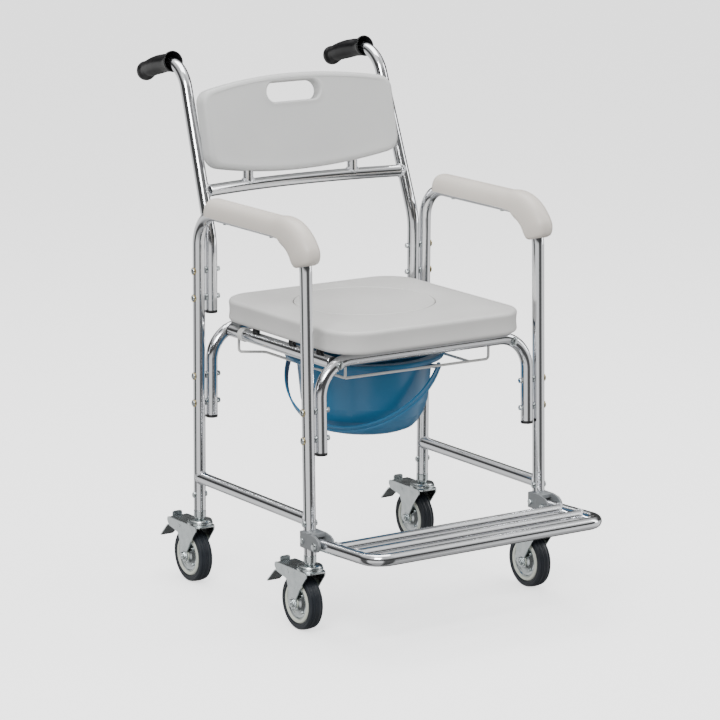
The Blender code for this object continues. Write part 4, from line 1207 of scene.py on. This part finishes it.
boss_outline = [(0, 0.0195), (0.0100, 0.0195), (0.0092, 0.0211), (0, 0.0211)]
cheek_boss = turned(profile(boss_outline, 0.0008), 36, "x")
fork = together(plate, cup, both_sides(cheek), both_sides(placed(cheek_boss, (0, *AXLE))))
axle_nut = together(
    hex_nut(0.0126, 0.0212, 0.0255),
    turned(profile([(0, 0.0210), (0.0076, 0.0210), (0.0076, 0.0216), (0, 0.0216)], 0.0002), 32, "x"),
    turned(profile([(0, 0.0150), (0.0036, 0.0150), (0.0036, 0.0266), (0, 0.0268)], 0.0006), 20, "x"),
)
axle_bar = turned([(0, -0.018), (0.0038, -0.018), (0.0038, 0.018), (0, 0.018)], 20, "x")
axle = together(both_sides(axle_nut), axle_bar)

# %% Wheel and brake pedal
tread_half = [(0.0379, 0.0107), (0.0388, 0.0125), (0.0424, 0.0130), (0.0430, 0.0124)]
tread_half += [(0.0438, 0.0124), (0.0444, 0.0130), (0.0470, 0.0126), (0.0486, 0.0113)]
tread_half += [(0.0493, 0.0090), (0.0482, 0.0083), (0.0482, 0.0073), (0.0496, 0.0066)]
tread_half += [(0.0499, 0.0040), (0.0499, 0.0028), (0.0487, 0.0021), (0.0487, 0.0011)]
tread_half += [(0.0500, 0.0004)]
tread = np.array(tread_half + [(r, -x) for r, x in tread_half[::-1]])
tyre = turned(profile(np.vstack([(0.0378, 0), tread]), 0.0007, 2), 96, "x", "loop")
rim_half = [(0.0310, 0.0112), (0.0318, 0.0136), (0.0356, 0.0134), (0.0372, 0.0118), (0.0378, 0.0104)]
rim = np.array(rim_half + [(r, -x) for r, x in rim_half[::-1]])
ring = turned(profile(np.vstack([(0.0300, 0), rim, (0.0300, -0.004)]), 0.0010, 3), 96, "x", "loop")
hub = turned(profile([(0, -0.0165), (0.0098, -0.0165), (0.0098, 0.0165), (0, 0.0165)], 0.0012), 40, "x")
dish = [(0, 0.009), (0.0312, 0.009), (0.0312, 0.0100), (0.0300, 0.0118), (0.0290, 0.0118)]
dish += [(0.0275, 0.0104), (0.0240, 0.0100), (0.0160, 0.0124), (0.0120, 0.0150), (0.0, 0.0150)]
plate_bolt_outline = [(0, 0.0100), (0.0024, 0.0100), (0.0024, 0.0126), (0, 0.0130)]
plate_bolt = turned(profile(plate_bolt_outline, 0.0008), 20, "x")
bolt_ring = [
    placed(plate_bolt, (0, 0.0215 * np.cos(angle), 0.0215 * np.sin(angle)))
    for angle in np.radians((45, 135, 225, 315))
]
wheel_plates = both_sides(together(turned(profile(dish, 0.0012, 3), 96, "x"), *bolt_ring))
pedal_bends = [(0, -0.004, 0.0015), (0, 0.038, -0.0045), (0, 0.052, -0.0105), (0, 0.081, -0.0365)]
pedal_line = rounded(pedal_bends, [0.02, 0.02], 8)
across = np.linspace(-1, 1, 9)
PEDAL_AT = [0.0, 0.045, 0.055, 0.075, 0.0815]
PEDAL_HALF = [0.0155, 0.0150, 0.0155, 0.0155, 0.0130]
half_wide = np.interp(pedal_line[:, 1], PEDAL_AT, PEDAL_HALF)[:, None]
edge_x = across**3 * 0.25 + across * 0.75
edge_z = np.tile(0.0013 * (1 - 0.2 * np.abs(across) ** 8), (len(pedal_line), 1))
upper_face = np.stack([half_wide * edge_x, edge_z], -1)
lower_face = np.stack([half_wide * edge_x[::-1], -edge_z], -1)
pedal_section = np.concatenate([upper_face, lower_face], 1)
pedal = swept(pedal_line, pedal_section, (1, 0, 0))
RIDGES = ((0.0630, -0.0190), (0.0695, -0.0250), (0.0760, -0.0310))
ridges = [
    pipe([(-0.0125, y, z), (0.0125, y, z)], 0.0009, (0, 0, 1), 10, 0.0003)
    for y, z in RIDGES
]
lug_outline = [(-0.0100, -0.004), (-0.0100, 0.0165), (0.0100, 0.0165), (0.0100, -0.004)]
lug = slab(eased(lug_outline, 0.004), "x", 0.0405, 0.0430)
lug["points"] = lug["points"][:, [1, 0, 2]]
brake_pin = pipe([(-0.0212, 0, 0), (0.0212, 0, 0)], 0.0030, (0, 0, 1), 20)
brake = together(pedal, *ridges, lug, brake_pin)

# %% Setting the casters
CASTER_PARTS = (
    ("caster_plug_stem", stem, zinc, "chair_frame", "zinc_steel", ("caster_stem",), (0, 0), 0),
    ("caster_pressed_fork", fork, zinc, "caster", "zinc_steel", ("caster_fork",), (0, 0), 0.0006),
    ("caster_ball_race", race, black_plastic, "caster", "grip_black", (), (0, 0), 0),
    ("caster_axle", axle, zinc, "caster", "zinc_steel", ("axle_bolt",), AXLE, 0),
    ("caster_tyre", tyre, tyre_rubber, "wheel", "tyre_rubber", ("tyre",), AXLE, 0),
    ("caster_wheel_ring", ring, ring_plastic, "wheel", "rim_cream", ("wheel_core",), AXLE, 0),
    ("caster_wheel_hub", hub, ring_plastic, "wheel", "rim_cream", (), AXLE, 0),
    ("caster_wheel_plates", wheel_plates, zinc, "wheel", "zinc_steel", (), AXLE, 0),
    ("caster_brake_pedal", brake, zinc, "brake", "zinc_steel", ("brake_pedal",), BRAKE, 0),
)
for end in ENDS:
    leg = front_y if end == "front" else rear_y
    for word, sign in SIDES:
        tag = "_" + end + "_" + word
        for name, shape, finish, body, slot, nodes, offset, bevel in CASTER_PARTS:
            middle = (sign * SIDE_X, leg(0.155) + offset[0], offset[1])
            add_piece(
                name + tag,
                placed(shape, middle),
                finish,
                body if body == "chair_frame" else body + tag,
                [node + tag for node in nodes],
                bevel=bevel,
            )
print("caster pieces:", 4 * len(CASTER_PARTS))

# %% [markdown]
# ## Floor, light and camera
# A plain pale floor, one large soft light to the left, a weaker one to the right and one
# overhead.  The surroundings are pale to the eye, but a reflection sees broad darker
# bands, as bright metal does in a real studio; without them the tubes would look white.
# The bands run with the bearing, so upright tubes get streaks along their length.  A dark
# belt just above level gives the tubes that lie flat a streak too.  The floor glows to
# the eye alone: it neither mirrors in the metal nor throws light up under the seat.

# %% Floor and surroundings
FLOOR_HALF = 14
floor_finish = Finish(
    "pale floor",
    (0.90, 0.90, 0.90),
    Roughness=0.8,
    Emission_Color=(1, 1, 1, 1),
    Emission_Strength=1.5,
)
floor_corners = [(-1, -1), (1, -1), (1, 1), (-1, 1)]
floor_shape = slab(np.multiply(floor_corners, FLOOR_HALF), "z", -0.02, 0.0)
floor_faces = floor_shape["quads"].tolist() + [cap.tolist() for cap in floor_shape["caps"]]
floor_mesh = bpy.data.meshes.new("studio_floor")
floor_mesh.from_pydata(floor_shape["points"].tolist(), [], floor_faces)
floor_mesh.materials.append(floor_finish.material)
floor = bpy.data.objects.new("studio_floor", floor_mesh)
bpy.context.scene.collection.objects.link(floor)
floor.visible_glossy = False
floor.visible_diffuse = False

world = bpy.data.worlds.new("studio")
world.use_nodes = True
bpy.context.scene.world = world
world.node_tree.nodes.clear()
air = Nodes(world.node_tree)


def soft_step(value, low, high, bottom, top):
    limits = {"From Min": low, "From Max": high, "To Min": bottom, "To Max": top}
    smooth = {"interpolation_type": "SMOOTHSTEP"}
    return air.node("ShaderNodeMapRange", smooth, {"Value": value, **limits})


def sine(angle):
    return air.node("ShaderNodeMath", {"operation": "SINE"}, {0: angle})


def either(test, otherwise, then):
    """One value where the test is 0 and the other where it is 1."""
    return air.node("ShaderNodeMix", {"data_type": "FLOAT"}, {0: test, 2: otherwise, 3: then})


SEEN_SKY, SOFT_SKY, LEAST_GLOW = 2.6, 0.62, 0.06
toward = air.node("ShaderNodeTexCoord", output="Generated")
east, north, upward = (
    air.node("ShaderNodeSeparateXYZ", None, {0: toward}, axis) for axis in "XYZ"
)
bearing = air.node("ShaderNodeMath", {"operation": "ARCTAN2"}, {0: north, 1: east})
bands = sine(3.0 * bearing + 2.8) + 0.30 * sine(8.0 * bearing + 1.0)
side_glow = soft_step(bands, -0.75, 0.15, 0.04, 0.95) * soft_step(upward, -0.02, 0.12, 1.0, 0.0)
side_glow = side_glow * soft_step(upward, -0.75, -0.35, 0.40, 1.0)
top_glow = soft_step(bands, -0.60, 0.40, 0.55, 1.0) * soft_step(upward, 0.36, 0.72, 0.0, 1.15)
reflected = side_glow + top_glow + LEAST_GLOW
seen = air.node("ShaderNodeLightPath", output="Is Camera Ray")
glossy = air.node("ShaderNodeLightPath", output="Is Glossy Ray")
strength = either(seen, either(glossy, SOFT_SKY, reflected), SEEN_SKY)
sky = air.node("ShaderNodeBackground", None, {"Color": (1, 1, 1, 1), "Strength": strength})
outlet = world.node_tree.nodes.new("ShaderNodeOutputWorld")
world.node_tree.links.new(sky.socket, outlet.inputs["Surface"])


# %% Lights and camera
def look_at(thing, target):
    """Turns an object so that its -Z axis points at the target."""
    away = Vector(target) - thing.location
    thing.rotation_euler = away.to_track_quat("-Z", "Y").to_euler()


def soft_light(name, place, size, power, target=(0, 0, 0.45)):
    light = bpy.data.lights.new(name, "AREA")
    light.shape = "RECTANGLE"
    light.size, light.size_y = size
    light.energy = power
    made = bpy.data.objects.new(name, light)
    made.location = place
    bpy.context.scene.collection.objects.link(made)
    look_at(made, target)


soft_light("key light", (-2.4, -2.2, 3.0), (1.6, 1.6), 120)
soft_light("side light", (2.8, -1.2, 1.6), (0.9, 2.4), 30)
soft_light("top light", (0.2, 0.6, 3.6), (2.4, 2.4), 100)
VIEW_FROM = np.array((-0.5403, -0.8140, 0.2135))
TARGET = np.array((0.02073, 0.035, 0.40493))
VIEW_DISTANCE = 6.3175
camera_data = bpy.data.cameras.new("camera")
camera_data.lens = 173.1
camera_data.sensor_width = 36.0
camera_data.shift_y = 0.0041
camera_data.clip_end = 60.0
camera = bpy.data.objects.new("camera", camera_data)
camera.location = TARGET + VIEW_FROM * VIEW_DISTANCE
bpy.context.scene.collection.objects.link(camera)
look_at(camera, TARGET)
bpy.context.scene.camera = camera
